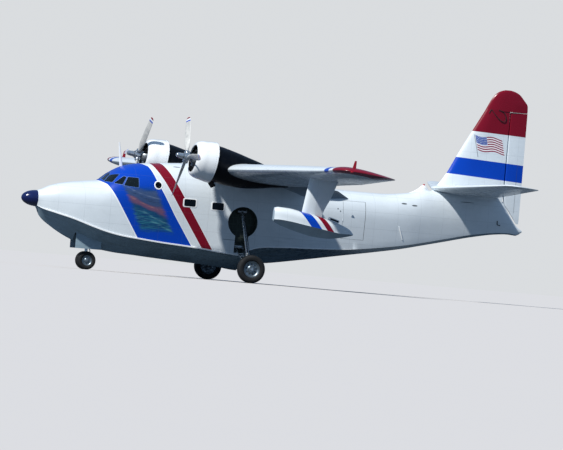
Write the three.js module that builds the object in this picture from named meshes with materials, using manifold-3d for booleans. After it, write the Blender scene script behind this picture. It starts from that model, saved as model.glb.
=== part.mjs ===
// Twin-engined amphibious flying boat, standing on its wheels.
// Millimetres. While shaping, X runs aft from the tip of the nose, Y to starboard and Z up from the keel
// at the step. The outer group then puts the origin on the floor under the middle of the aircraft.
import * as THREE from 'three';
import { mergeVertices } from 'three/addons/utils/BufferGeometryUtils.js';
import Module from 'manifold-3d';

const wasm = await Module();
wasm.setup();

// Whole aircraft
const LENGTH = 19200;
const HALF_SPAN = 14730;
const KEEL_CLEARANCE = 420;
const GAP = 0.3;
const TILT = THREE.MathUtils.degToRad(7.5);

// Hull
const HULL_WALL = 60;
const PANE = { gap: 0.5, thick: 11.5 };
const COCKPIT = { front: 2780, back: 5300, floor: 1750 };
const CABIN = { front: 9000, back: 17000, floor: 1200 };
const DOOR = {
  front: 11900, back: 12800, bottom: 1480, top: 2880, frontGap: 10, backGap: 26, edge: 8, thick: 55,
  hingeY: 1098, knuckleLow: 2120, knuckleHigh: 2380,
};
const WELL = { x: 8070, z: 1760, radius: 560, wall: 800, slotWall: 850, slotHalf: 250, slotBottom: 640 };
const NOSE_BAY = { front: 2050, back: 3080, half: 330, roof: 1150 };

// Wing and tail
const CAMBER = 0.01;
const SPLIT_Y = 4300;
const FLAP = { inner: 1500, outer: 8700 };
const AILERON = { inner: 8800, outer: 13800 };
const COVE = 18;
const SIDE_GAP = 25;
const PIN_GAP = 0.6;
const PIN_TIP = 3;
const PIN_RADIUS = 22;
const PYLON_Y = 10600;
const RUDDER = { lowHinge: 18415, highHinge: 18437, bottom: 2560, top: 6640, topGap: 20 };
const ELEVATOR = { inner: 430, outer: 4500 };

// Engines and propellers
const ENGINE = { x: 5800, y: 3140, z: 3850 };
const PROP_X = -640;
const PROP_RADIUS = 1675;
const FIREWALL_X = 352;
const COWL_SIDES = 27;
const COWL_BORE = 655;

// Wheels: the polygon's flats, not its corners, lie at the tyre radius
const AXLE_RADIUS = 50;
const MAIN_WHEEL = { x: 8070, y: 2690, radius: 508, width: 300, rim: 300, bore: 50.7, sides: 24 };
const NOSE_WHEEL = { x: 2600, y: 160, radius: 330, width: 170, rim: 190, bore: 30, sides: 20 };

// Hull stations: x, keel z, chine y, chine z, side y, side z, top z
const HULL = [
  [560, 1690, 210, 1745, 300, 2010, 2300],
  [700, 1400, 350, 1670, 390, 2020, 2350],
  [1100, 1080, 590, 1560, 630, 2000, 2540],
  [1800, 700, 860, 1375, 870, 1960, 2715],
  [2500, 445, 1020, 1150, 1040, 1950, 2815],
  [2810, 385, 1070, 1060, 1100, 1960, 2860],
  [3190, 330, 1120, 970, 1150, 2000, 3150],
  [3580, 285, 1160, 905, 1190, 2100, 3390],
  [3800, 268, 1175, 880, 1205, 2150, 3480],
  [4200, 250, 1190, 845, 1220, 2200, 3570],
  [5100, 200, 1200, 770, 1230, 2250, 3660],
  [6200, 150, 1200, 705, 1230, 2250, 3740],
  [7350, 95, 1200, 600, 1230, 2250, 3760],
  [8340, 0, 1200, 540, 1230, 2250, 3720],
  [8360, 200, 1195, 740, 1230, 2250, 3720],
  [9570, 370, 1165, 960, 1220, 2250, 3600],
  [11000, 620, 1095, 1025, 1170, 2240, 3360],
  [12300, 860, 975, 1110, 1065, 2260, 3255],
  [13520, 1080, 835, 1270, 930, 2300, 3250],
  [14640, 1300, 675, 1460, 780, 2360, 3360],
  [15300, 1460, 555, 1600, 660, 2420, 3520],
  [16200, 1680, 410, 1810, 500, 2500, 3500],
  [17260, 1940, 250, 2040, 320, 2600, 3460],
  [18250, 2120, 140, 2180, 185, 2640, 3430],
  [18620, 2150, 105, 2200, 140, 2500, 2930],
  [18980, 2130, 70, 2170, 95, 2320, 2470],
  [LENGTH, 2270, 25, 2280, 35, 2300, 2330],
];

// Wing stations: y, leading edge x, leading edge z, chord, thickness ratio, incidence in degrees
const WING = [
  [0, 6460, 3600, 3950, 0.178, 5.1],
  [3900, 6560, 3600, 3880, 0.155, 5.1],
  [SPLIT_Y, 6580, 3606, 3850, 0.153, 5.1],
  [9000, 6885, 3680, 3150, 0.156, 4.6],
  [13500, 7175, 3755, 2430, 0.148, 4],
  [14100, 7225, 3795, 2300, 0.137, 4.3],
  [14450, 7330, 3810, 2020, 0.115, 4.8],
  [14650, 7520, 3800, 1680, 0.085, 5.2],
  [HALF_SPAN, 7760, 3780, 1250, 0.02, 5.4],
];

// Tailplane stations, as the wing's
const TAILPLANE = [
  [0, 15560, 3620, 2570, 0.12, 3.6],
  [3900, 16700, 3850, 1460, 0.1, 3.6],
  [4500, 16900, 3885, 1250, 0.085, 3.6],
  [4660, 17050, 3890, 1070, 0.05, 3.6],
  [4720, 17300, 3880, 760, 0.02, 3.6],
];

// Fin stations: z, leading edge x, trailing edge x, half thickness
const FIN = [
  [3300, 15380, 18310, 190],
  [3740, 15780, 18315, 175],
  [4240, 16110, 18320, 160],
  [4850, 16420, 18330, 145],
  [6700, 17430, 18360, 100],
];
const FIN_CAP = [
  [RUDDER.top + RUDDER.topGap, 17405, 19050, 98],
  [6900, 17520, 19040, 92],
  [7160, 17670, 18850, 82],
  [7330, 17830, 18680, 66],
  [7420, 18010, 18480, 45],
  [7450, 18130, 18340, 20],
];

// Nacelle stations: x, centre z, half width, half height
const NACELLE = [
  [ENGINE.x + FIREWALL_X * Math.cos(TILT), ENGINE.z - FIREWALL_X * Math.sin(TILT), 640, 640],
  [6500, 3722, 635, 662],
  [7000, 3622, 600, 628],
  [7500, 3535, 540, 555],
  [8000, 3475, 450, 455],
  [8500, 3398, 330, 312],
  [9050, 3300, 130, 160],
];

// Float stations: x, keel z, chine half width, chine z, deck z
const FLOAT = [
  [6277, 1900, 90, 2010, 2330],
  [6397, 1820, 190, 2030, 2365],
  [6807, 1670, 330, 1960, 2350],
  [7307, 1510, 400, 1850, 2265],
  [7777, 1420, 415, 1755, 2185],
  [8317, 1390, 385, 1650, 2060],
  [8777, 1450, 290, 1600, 1925],
  [9137, 1540, 150, 1600, 1760],
  [9247, 1570, 70, 1600, 1640],
];

// Blade stations: radius, chord, thickness, pitch in degrees
const BLADE = [
  [60, 110, 110, 60],
  [260, 120, 104, 56],
  [480, 215, 62, 48],
  [820, 285, 44, 38],
  [1200, 280, 32, 30],
  [1520, 225, 24, 25],
  [PROP_RADIUS, 90, 12, 22],
];

const PAINT = {
  white: [0xe6ebee, 0.35, 0.1],
  red: [0x8f1626, 0.35, 0.1],
  black: [0x0a0d16, 0.45, 0.1],
  navy: [0x0c1642, 0.2, 0.1],
  metal: [0xa8aeb4, 0.35, 0.9],
  dark: [0x30343a, 0.6, 0.5],
  rubber: [0x121316, 0.85, 0],
  glass: [0x22303a, 0.08, 0],
  trim: [0x3c4248, 0.7, 0.1],
};

// Solids and joins

function solidOf(geometry) {
  const bare = geometry.index ? geometry.toNonIndexed() : geometry.clone();
  bare.deleteAttribute('normal');
  bare.deleteAttribute('uv');
  const merged = mergeVertices(bare, 1e-3);
  const place = merged.attributes.position.array;
  const corners = merged.index.array;
  const kept = [];
  let volume = 0;
  const [a, b, c] = [new THREE.Vector3(), new THREE.Vector3(), new THREE.Vector3()];
  for (let i = 0; i < corners.length; i += 3) {
    const [p, q, r] = corners.slice(i, i + 3);
    if (p === q || q === r || r === p) continue;
    kept.push(p, q, r);
    a.fromArray(place, 3 * p);
    b.fromArray(place, 3 * q);
    c.fromArray(place, 3 * r);
    volume += a.dot(b.cross(c));
  }
  if (volume < 0) kept.reverse();
  return new wasm.Manifold(new wasm.Mesh({
    numProp: 3,
    vertProperties: new Float32Array(place),
    triVerts: new Uint32Array(kept),
  }));
}

function geometryOf(solid) {
  const parts = solid.decompose().sort((m, n) => n.volume() - m.volume());
  const mesh = parts[0].getMesh();
  const geometry = new THREE.BufferGeometry();
  geometry.setAttribute('position', new THREE.BufferAttribute(new Float32Array(mesh.vertProperties), 3));
  geometry.setIndex(new THREE.BufferAttribute(new Uint32Array(mesh.triVerts), 1));
  return geometry;
}

const join = (...parts) => geometryOf(parts.map(solidOf).reduce((sum, part) => sum.add(part)));
const cut = (body, ...tools) => geometryOf(tools.map(solidOf).reduce((left, tool) => left.subtract(tool), solidOf(body)));
const common = (body, tool) => geometryOf(solidOf(body).intersect(solidOf(tool)));

// The same shape a hair larger about a point inside it, for cutting the seat of a neighbour
function grown(geometry, centre, factor = 1.001) {
  const copy = geometry.clone();
  return copy.translate(-centre[0], -centre[1], -centre[2])
    .scale(factor, factor, factor)
    .translate(centre[0], centre[1], centre[2]);
}

const mirrored = (geometry) => geometryOf(solidOf(geometry.clone().scale(1, -1, 1)));

// Closed skin through rings of equal length, with a flat fan over each end
function loft(rings) {
  const count = rings[0].length;
  const place = rings.flat(2);
  const corners = [];
  const middle = (ring) => [0, 1, 2].map((k) => ring.reduce((sum, p) => sum + p[k], 0) / count);
  place.push(...middle(rings[0]), ...middle(rings.at(-1)));
  const firstCentre = rings.length * count;
  for (let s = 0; s + 1 < rings.length; s++) {
    for (let i = 0; i < count; i++) {
      const j = (i + 1) % count;
      const [p, q, r, t] = [s * count + i, s * count + j, (s + 1) * count + i, (s + 1) * count + j];
      corners.push(p, q, t, p, t, r);
    }
  }
  const last = (rings.length - 1) * count;
  for (let i = 0; i < count; i++) {
    const j = (i + 1) % count;
    corners.push(j, i, firstCentre, last + i, last + j, firstCentre + 1);
  }
  const geometry = new THREE.BufferGeometry();
  geometry.setAttribute('position', new THREE.Float32BufferAttribute(place, 3));
  geometry.setIndex(corners);
  return geometry;
}

function block(x0, x1, y0, y1, z0, z1) {
  const box = new THREE.BoxGeometry(x1 - x0, y1 - y0, z1 - z0);
  return box.translate((x0 + x1) / 2, (y0 + y1) / 2, (z0 + z1) / 2);
}

// Round bar between two points
function bar(from, to, radius, sides = 12) {
  const start = new THREE.Vector3(...from);
  const way = new THREE.Vector3(...to).sub(start);
  const rod = new THREE.CylinderGeometry(radius, radius, way.length(), sides);
  rod.translate(0, way.length() / 2, 0);
  rod.applyQuaternion(new THREE.Quaternion().setFromUnitVectors(new THREE.Vector3(0, 1, 0), way.normalize()));
  return rod.translate(start.x, start.y, start.z);
}

// Turned about the local X axis: profile points are [x, radius]
function turnedX(profile, sides) {
  const points = profile.map(([x, r]) => new THREE.Vector2(r, x));
  return new THREE.LatheGeometry(points, sides, Math.PI / sides).rotateZ(-Math.PI / 2);
}

// Turned about the local Y axis, flats at the stated radii: profile points are [y, radius]
function turnedY(profile, sides) {
  const corner = 1 / Math.cos(Math.PI / sides);
  const points = profile.map(([y, r]) => new THREE.Vector2(r * corner, y));
  return new THREE.LatheGeometry(points, sides, Math.PI / sides);
}

// Flat outline in X and Z, as thick as the span from y0 to y1
function plateXZ(outline, y0, y1) {
  const shape = new THREE.Shape(outline.map(([x, z]) => new THREE.Vector2(x, z)));
  const slab = new THREE.ExtrudeGeometry(shape, { depth: y1 - y0, bevelEnabled: false });
  return slab.rotateX(Math.PI / 2).translate(0, y1, 0);
}

// Four-cornered plug through a skin, along the corners' common normal
function plug(corners, reach) {
  const points = corners.map((p) => new THREE.Vector3(...p));
  const normal = points[2].clone().sub(points[0]).cross(points[3].clone().sub(points[1])).normalize();
  const ring = (d) => points.map((p) => p.clone().addScaledVector(normal, d).toArray());
  return loft([ring(-reach), ring(reach)]);
}

function row(table, at) {
  const i = Math.max(1, table.findIndex((r, k) => k > 0 && r[0] >= at));
  const [low, high] = [table[i - 1], table[i]];
  const t = (at - low[0]) / (high[0] - low[0]);
  return low.map((v, k) => v + t * (high[k] - v));
}

// Hull

const ARC_STEPS = 5;
const BOTTOM_FLARE = [[1 / 3, 0.4], [2 / 3, 0.76]];
const ROUNDNESS = 0.86;

function hullRing([x, keel, chineY, chineZ, sideY, sideZ, top], wall = 0) {
  const half = [[0, keel]];
  for (const [across, rise] of BOTTOM_FLARE) half.push([across * chineY, keel + rise * (chineZ - keel)]);
  half.push([chineY, chineZ], [(chineY + sideY) / 2 + 8, (chineZ + sideZ) / 2], [sideY, sideZ]);
  for (let i = 1; i < ARC_STEPS; i++) {
    const angle = (i / ARC_STEPS) * Math.PI / 2;
    half.push([sideY * Math.cos(angle) ** ROUNDNESS, sideZ + (top - sideZ) * Math.sin(angle) ** ROUNDNESS]);
  }
  half.push([0, top]);
  const ring = [...half, ...half.slice(1, -1).reverse().map(([y, z]) => [-y, z])];
  return ring.map(([y, z], i) => {
    const [before, after] = [ring.at(i - 1), ring[(i + 1) % ring.length]];
    const way = new THREE.Vector2(after[0] - before[0], after[1] - before[1]).normalize();
    return [x, y - wall * way.y, z + wall * way.x];
  });
}

function hullSpan(front, back, wall) {
  const between = HULL.filter(([x]) => x > front + 1 && x < back - 1);
  const rows = [row(HULL, front), ...between, row(HULL, back)];
  return loft(rows.map((r) => hullRing(r, wall)));
}

// Window openings on the port side of the cockpit; the starboard ones mirror them
const SIDE_WINDOW = [[3580, 2730], [3700, 3050], [4100, 3050], [4110, 2700]];
const QUARTER_WINDOW = [[3200, 2790], [3500, 3060], [3625, 3045], [3530, 2755]];
const CORNER_PANE = [[2920, -560, 2850], [3150, -400, 3080], [3440, -640, 3080], [3180, -800, 2780]];
const FRONT_PANE = [[2890, -40, 2925], [3250, -40, 3200], [3130, -340, 3110], [2885, -500, 2880]];

function cockpitOpenings() {
  const port = [
    plateXZ(SIDE_WINDOW, -1400, -500),
    plateXZ(QUARTER_WINDOW, -1400, -500),
    plug(CORNER_PANE, 170),
    plug(FRONT_PANE, 150),
  ];
  return [...port, ...port.map(mirrored)];
}

function wheelWell() {
  const round = new THREE.CylinderGeometry(WELL.radius, WELL.radius, 800, 24);
  round.translate(WELL.x, WELL.wall + 400, WELL.z);
  const slot = block(WELL.x - WELL.slotHalf, WELL.x + WELL.slotHalf, WELL.slotWall, 1500, WELL.slotBottom, WELL.z);
  return join(round, slot);
}

const doorway = (frontGap, backGap, edge) => block(
  DOOR.front + frontGap, DOOR.back - backGap, -1400, -500, DOOR.bottom + edge, DOOR.top - edge);

const aboveFloor = (room) => block(room.front - 50, room.back + 50, -1500, 1500, room.floor, 4000);

function wingRing([y, leX, leZ, chord, thick, incidence], side = 1) {
  const steps = 8;
  const ratio = (u) => 5 * thick * (0.2969 * Math.sqrt(u) - 0.126 * u - 0.3516 * u * u + 0.2843 * u ** 3
    - 0.1015 * u ** 4) + 0.0015 * u;
  const camber = (u) => CAMBER * (1 - ((u - 0.25) / (u < 0.25 ? 0.25 : 0.75)) ** 2);
  const twist = THREE.MathUtils.degToRad(incidence);
  const at = (u, v) => [
    leX + chord * (u * Math.cos(twist) + v * Math.sin(twist)),
    side * y,
    leZ + chord * (v * Math.cos(twist) - u * Math.sin(twist)),
  ];
  const ring = [];
  for (let i = 0; i <= steps; i++) {
    const u = (1 - Math.cos((i / steps) * Math.PI)) / 2;
    ring.push(at(u, camber(u) + ratio(u) + (u === 1 ? 0.001 : 0)));
  }
  for (let i = steps; i > 0; i--) {
    const u = (1 - Math.cos((i / steps) * Math.PI)) / 2;
    ring.push(at(u, camber(u) - ratio(u) - (u === 1 ? 0.001 : 0)));
  }
  return ring;
}

const chordPoint = (table, y, u, v = 0) => {
  const [, leX, leZ, chord, , incidence] = row(table, y);
  const twist = THREE.MathUtils.degToRad(incidence);
  return [
    leX + chord * (u * Math.cos(twist) + v * Math.sin(twist)), y,
    leZ + chord * (v * Math.cos(twist) - u * Math.sin(twist)),
  ];
};

// Movable surface behind the hinge line at chord fraction u: a round nose about the hinge, then a straight
// taper to the trailing edge. Its nose radius follows the section's thickness there.
function noseAt(table, y, u) {
  const [, , , chord, thick] = row(table, y);
  const half = 5 * thick * (0.2969 * Math.sqrt(u) - 0.126 * u - 0.3516 * u * u + 0.2843 * u ** 3 - 0.1015 * u ** 4);
  return { radius: chord * half, lift: CAMBER * (1 - ((u - 0.25) / 0.75) ** 2) };
}

function surfaceRing(table, y, u) {
  const { radius, lift } = noseAt(table, y, u);
  const hinge = chordPoint(table, y, u, lift);
  const tail = chordPoint(table, y, 1, 0);
  const slope = Math.atan2(hinge[2] - tail[2], tail[0] - hinge[0]);
  const ring = [];
  const noseSteps = 6;
  for (let i = 0; i <= noseSteps; i++) {
    const angle = Math.PI / 2 + (i / noseSteps) * Math.PI + (0.5 - i / noseSteps) * 0.2;
    const turned = angle - slope;
    ring.push([hinge[0] + radius * Math.cos(turned), y, hinge[2] + radius * Math.sin(turned)]);
  }
  ring.push([tail[0], y, tail[2] - 5], [tail[0], y, tail[2] + 5]);
  return ring;
}

// Room for a movable surface: everything behind a face just ahead of its nose
function coveRing(table, y, u) {
  const { radius, lift } = noseAt(table, y, u);
  const hinge = chordPoint(table, y, u, lift);
  const x = hinge[0] - radius - COVE;
  return [[x, y, hinge[2] - 900], [x + 3000, y, hinge[2] - 900], [x + 3000, y, hinge[2] + 900], [x, y, hinge[2] + 900]];
}

const FLAP_AT = 0.76;
const AILERON_AT = 0.77;
const ELEVATOR_AT = 0.62;

// Pointed hinge pin from just inside an end of a movable surface to the rib beside it
function endPin(at, outward, reach, radius = PIN_RADIUS) {
  const pin = new THREE.CylinderGeometry(PIN_TIP, radius, reach + 40, 8).translate(0, (reach - 40) / 2, 0);
  pin.applyQuaternion(new THREE.Quaternion().setFromUnitVectors(new THREE.Vector3(0, 1, 0), outward));
  return pin.translate(...at);
}

const hingePoint = (table, y, u) => chordPoint(table, y, u, noseAt(table, y, u).lift);

// Straight from rib to rib, so that the nose stays round about one hinge line
function movable(table, { inner, outer }, u) {
  const [a, b] = [hingePoint(table, inner, u), hingePoint(table, outer, u)];
  const outward = new THREE.Vector3(...b).sub(new THREE.Vector3(...a)).normalize();
  const reach = SIDE_GAP - PIN_GAP;
  return join(
    loft([inner, outer].map((y) => surfaceRing(table, y, u))),
    endPin(a, outward.clone().negate(), reach),
    endPin(b, outward, reach),
  );
}

const cove = (table, { inner, outer }, u) => {
  const [a, b] = [coveRing(table, inner, u), coveRing(table, outer, u)];
  const stretch = SIDE_GAP / (outer - inner);
  const beyond = (from, to) => to.map((p, i) => p.map((v, k) => v + stretch * (v - from[i][k])));
  return loft([beyond(b, a), beyond(a, b)]);
};

// Body of the aircraft

const wingHalf = (from, to) => {
  const rows = WING.filter(([y]) => y >= from && y <= to);
  return loft(rows.map((r) => wingRing(r)));
};
const flapCove = cove(WING, FLAP, FLAP_AT);
const aileronCove = cove(WING, AILERON, AILERON_AT);
const centreBlank = join(wingHalf(0, SPLIT_Y), mirrored(wingHalf(0, SPLIT_Y)));
const wingCentre = cut(centreBlank, flapCove, mirrored(flapCove));
const outerBlank = wingHalf(SPLIT_Y, HALF_SPAN).translate(0, GAP, 0);
const wingOuter = cut(outerBlank, flapCove, aileronCove);

const tailHalf = loft(TAILPLANE.map((r) => wingRing(r)));
const elevatorCove = cove(TAILPLANE, ELEVATOR, ELEVATOR_AT);
const tailBlank = join(tailHalf, mirrored(tailHalf));
const tailplane = cut(tailBlank, elevatorCove, mirrored(elevatorCove));

// Half-section shared by the fin and its cap: an oval nose running back to a narrow edge
function finRing([z, leX, teX, half], blunt) {
  const shape = [[0, 0], [0.04, 0.45], [0.14, 0.8], [0.32, 1], [0.6, 0.86], [1, blunt]];
  const upper = shape.map(([u, v]) => [leX + u * (teX - leX), half * v, z]);
  return [...upper, ...upper.slice(1).reverse().map(([x, y]) => [x, -y, z])];
}

const finBlank = join(
  loft(FIN.map((r) => finRing(r, 0.62))),
  loft(FIN_CAP.map((r) => finRing(r, 0.08))),
);

const radomeSides = 24;
const radome = turnedX([[0, 0], [25, 85], [100, 165], [220, 232], [380, 280], [559.7, 297], [559.7, 0]], radomeSides)
  .translate(0, 0, 2005);

const well = wheelWell();
const cockpitRoom = common(hullSpan(COCKPIT.front, COCKPIT.back, HULL_WALL), aboveFloor(COCKPIT));
const cabinRoom = common(hullSpan(CABIN.front, CABIN.back, HULL_WALL), aboveFloor(CABIN));
const hullBlank = loft(HULL.map((r) => hullRing(r)));
const noseBay = block(NOSE_BAY.front, NOSE_BAY.back, -NOSE_BAY.half, NOSE_BAY.half, -100, NOSE_BAY.roof);

const hull = cut(
  hullBlank,
  cockpitRoom,
  cabinRoom,
  ...cockpitOpenings(),
  doorway(0, 0, 0),
  well,
  mirrored(well),
  noseBay,
  grown(wingCentre, [8800, 0, 3450]),
  grown(tailplane, [17000, 0, 3560]),
);
const hullGrown = grown(hullBlank, [16800, 0, 2700]);
const fin = cut(finBlank, hullGrown, grown(tailBlank, [17000, 0, 3560]));

const glazingSkin = cut(
  hullSpan(COCKPIT.front, COCKPIT.back, HULL_WALL + PANE.gap),
  hullSpan(COCKPIT.front, COCKPIT.back, HULL_WALL + PANE.gap + PANE.thick),
);
const glazing = common(glazingSkin, block(2870, 4180, -1300, 1300, 2680, 3290));

// The door's knuckle is round about the hinge line, just outside the skin at the front jamb
const doorHingeX = DOOR.front + DOOR.frontGap;
const doorPanel = cut(
  common(hullSpan(DOOR.front - 100, DOOR.back + 100, 0), doorway(DOOR.frontGap, DOOR.backGap, DOOR.edge)),
  hullSpan(DOOR.front - 200, DOOR.back + 200, DOOR.thick),
);
const doorKnuckle = bar(
  [doorHingeX, -DOOR.hingeY, DOOR.knuckleLow], [doorHingeX, -DOOR.hingeY, DOOR.knuckleHigh], DOOR.frontGap - PIN_GAP);
const cabinDoor = join(doorPanel, doorKnuckle);

// Rudder: a round-nosed slab about the hinge line, its foot following the raked sternpost
function rudderRing([z, frontX, backX, half]) {
  const nose = [[frontX + half * 1.1, half], [frontX + half * 0.35, half * 0.8], [frontX, 0]];
  const side = [...nose, [frontX + half * 0.35, -half * 0.8], [frontX + half * 1.1, -half]];
  return [[backX, 6], ...side, [backX, -6]].map(([x, y]) => [x, y, z]);
}
const RUDDER_ROWS = [
  [RUDDER.bottom, 18955, 19042, 22],
  [2700, 18850, 19046, 38],
  [3000, 18620, 19050, 52],
  [3300, 18410, 19052, 62],
  [3700, RUDDER.lowHinge - 70, 19052, 70],
  [RUDDER.top, RUDDER.highHinge - 52, 19052, 52],
];
const rudderPin = endPin(
  [RUDDER.highHinge, 0, RUDDER.top], new THREE.Vector3(0, 0, 1), RUDDER.topGap - PIN_GAP);
const rudder = join(loft(RUDDER_ROWS.map(rudderRing)), rudderPin);

// Powerplant, built about the thrust line with X aft from the cylinders

const cowl = turnedX([
  [-410, 505], [-397, 556], [-359, 604], [-299, 645], [-220, 676], [-128, 696], [-30, 704], [150, 733], [327, 750],
  [327, 700], [120, COWL_BORE], [-160, COWL_BORE], [-300, 590], [-385, 495], [-410, 505],
], COWL_SIDES);

const cylinderSeat = COWL_BORE * Math.cos(Math.PI / COWL_SIDES) - GAP;

function engineGeometry() {
  const core = turnedX([
    [-560, 0], [-560, 70], [-495, 75], [-490, 130], [-400, 190], [-300, 215], [-200, 290], [160, 300],
    [180, 440], [300, 440], [FIREWALL_X - GAP, 300], [FIREWALL_X - GAP, 0],
  ], 12);
  const cylinders = [];
  for (let i = 0; i < 9; i++) {
    const angle = (i / 9) * 2 * Math.PI;
    const barrel = new THREE.CylinderGeometry(118, 105, 350, 8).translate(0, 445, 0);
    const head = new THREE.BoxGeometry(150, cylinderSeat - 560, 96).translate(0, (cylinderSeat + 560) / 2, 0);
    cylinders.push(...[barrel, head].map((g) => g.rotateX(Math.PI / 2 + angle)));
  }
  return join(core, ...cylinders);
}

function bladeGeometry() {
  const rings = BLADE.map(([r, chord, thick, pitch]) => {
    const turn = -THREE.MathUtils.degToRad(pitch);
    const ring = [];
    for (let i = 0; i < 8; i++) {
      const angle = (i / 8) * 2 * Math.PI;
      const [along, across] = [(chord / 2) * Math.cos(angle), (thick / 2) * Math.sin(angle)];
      ring.push([along * Math.sin(turn) + across * Math.cos(turn), along * Math.cos(turn) - across * Math.sin(turn), r]);
    }
    return ring;
  });
  return loft(rings);
}

function propellerGeometry(phase) {
  const hub = turnedX([
    [-420, 0], [-412, 45], [-370, 86], [-105, 104], [-95, 150], [70, 150], [79, 60], [79, 0],
  ], 12);
  const blades = [0, 1, 2].map((k) => bladeGeometry().rotateX(THREE.MathUtils.degToRad(phase + 120 * k)));
  return join(hub, ...blades);
}

// Nacelle from the firewall back over and under the wing, with its exhaust stub
function nacelleGeometry() {
  const rings = NACELLE.map(([x, z, wide, high], s) => {
    const lean = s === 0 ? Math.tan(TILT) : 0;
    return Array.from({ length: 20 }, (_, i) => {
      const angle = (i / 20) * 2 * Math.PI;
      return [x + lean * high * Math.sin(angle), wide * Math.cos(angle), z + high * Math.sin(angle)];
    });
  });
  const exhaust = bar([6200, -160, 3250], [6280, -160, 2945], 78);
  const body = join(loft(rings), exhaust).translate(0, ENGINE.y, 0);
  return cut(body, grown(wingCentre, [8800, 0, 3450]));
}

// Floats and their pylons

function floatRing([x, keel, chineY, chineZ, deck]) {
  const side = deck - chineZ;
  const half = [
    [0, keel], [chineY * 0.5, keel + 0.58 * (chineZ - keel)], [chineY, chineZ],
    [chineY * 0.97, chineZ + side * 0.45], [chineY * 0.72, chineZ + side * 0.82], [chineY * 0.36, deck - side * 0.04],
    [0, deck],
  ];
  return [...half, ...half.slice(1, -1).reverse().map(([y, z]) => [-y, z])].map(([y, z]) => [x, y, z]);
}

const floatHull = loft(FLOAT.map(floatRing)).translate(0, PYLON_Y, 0);

function pylonRing([z, leX, teX, half]) {
  const shape = [[0, 0], [0.06, 0.55], [0.22, 0.95], [0.42, 1], [0.75, 0.55], [1, 0.06]];
  const upper = shape.map(([u, v]) => [leX + u * (teX - leX), PYLON_Y + half * v, z]);
  return [...upper, ...upper.slice(1).reverse().map(([x, y]) => [x, 2 * PYLON_Y - y, z])];
}
const PYLON = [
  [1900, 7262, 8017, 95],
  [2230, 7302, 8077, 95],
  [2870, 7402, 8362, 110],
  [3420, 7487, 8557, 120],
  [3680, 7525, 8650, 127],
];
const pylon = cut(
  loft(PYLON.map(pylonRing)),
  grown(floatHull, [7777, PYLON_Y, 1900]),
  grown(wingOuter, [8100, PYLON_Y, 3650]),
);

// Main landing gear, starboard side

const KNUCKLE = { y: 2430, z: 205, braceZ: 55 };
function mainLeg() {
  const { x, z } = WELL;
  const top = [x, 1010, 2150];
  return cut(
    join(
      block(x - 130, x + 130, WELL.wall + GAP, 1010, 2080, 2220),
      bar([x - 170, 1010, 2150], [x + 170, 1010, 2150], 70),
      bar(top, [x, 2160, 575], 62),
      bar(top, [x, KNUCKLE.y, KNUCKLE.z], 44),
      block(x - 95, x + 95, 2380, 2490, 10, 230),
      bar([x, 2480, MAIN_WHEEL.radius - KEEL_CLEARANCE], [x, 2815, MAIN_WHEEL.radius - KEEL_CLEARANCE], AXLE_RADIUS, 16),
    ),
    block(x - 300, x + 300, 0, WELL.wall + GAP, z, 2600),
  );
}

function mainBrace() {
  const { x } = WELL;
  const seat = WELL.slotWall + GAP;
  const knuckle = [x, KNUCKLE.y, KNUCKLE.braceZ];
  return cut(
    join(
      block(x - 215, x + 215, seat, 960, 800, 920),
      bar([x - 170, 930, 860], knuckle, 36),
      bar([x + 170, 930, 860], knuckle, 36),
      bar([x - 120, 1435, 585], [x + 120, 1435, 585], 26),
    ),
    block(x - 400, x + 400, 2380 - GAP, 2900, -200, 400),
    block(x - 400, x + 400, 400, seat, 500, 1200),
  );
}

function wheelGeometry({ width, rim, bore, sides }) {
  const half = width / 2;
  return turnedY([
    [-half * 0.62, bore], [-half * 0.62, rim * 0.36], [-half * 0.3, rim * 0.46], [-half * 0.3, rim * 0.78],
    [-half * 0.66, rim], [half * 0.66, rim], [half * 0.3, rim * 0.78], [half * 0.3, rim * 0.46],
    [half * 0.62, rim * 0.36], [half * 0.62, bore], [-half * 0.62, bore],
  ], sides);
}

function tyreGeometry({ width, radius, rim, sides }) {
  const half = width / 2;
  const inner = rim + GAP;
  return turnedY([
    [-half * 0.66, inner], [-half, rim + 0.42 * (radius - rim)], [-half * 0.9, rim + 0.8 * (radius - rim)],
    [-half * 0.55, radius], [half * 0.55, radius], [half * 0.9, rim + 0.8 * (radius - rim)],
    [half, rim + 0.42 * (radius - rim)], [half * 0.66, inner], [-half * 0.66, inner],
  ], sides);
}

// Nose landing gear

const NOSE_AXLE_Z = NOSE_WHEEL.radius - KEEL_CLEARANCE;
const NOSE_AXLE_GAP = 0.9;
const FORK_TOP = 500;
function noseLeg() {
  const { x } = NOSE_WHEEL;
  return join(
    block(x - 170, x + 150, -120, 120, 1060, NOSE_BAY.roof - GAP),
    bar([x, 0, 1100], [x, 0, FORK_TOP + GAP], 80, 16),
    bar([x + 20, 0, 620], [x + 330, 0, NOSE_BAY.roof - 45], 38),
    block(x + 250, x + 390, -70, 70, NOSE_BAY.roof - 90, NOSE_BAY.roof - GAP),
  );
}

function noseFork() {
  const { x } = NOSE_WHEEL;
  const column = bar([x, 0, FORK_TOP], [x, 0, NOSE_AXLE_Z], 56, 16);
  const collar = bar([x, 0, FORK_TOP], [x, 0, FORK_TOP - 70], 92, 16);
  const boss = block(x - 130, x + 62, -48, 48, NOSE_AXLE_Z - 58, NOSE_AXLE_Z + 66);
  const axleHole = bar([x, -100, NOSE_AXLE_Z], [x, 100, NOSE_AXLE_Z], NOSE_WHEEL.bore + NOSE_AXLE_GAP, 16);
  return cut(join(column, collar, boss), axleHole);
}

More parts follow.
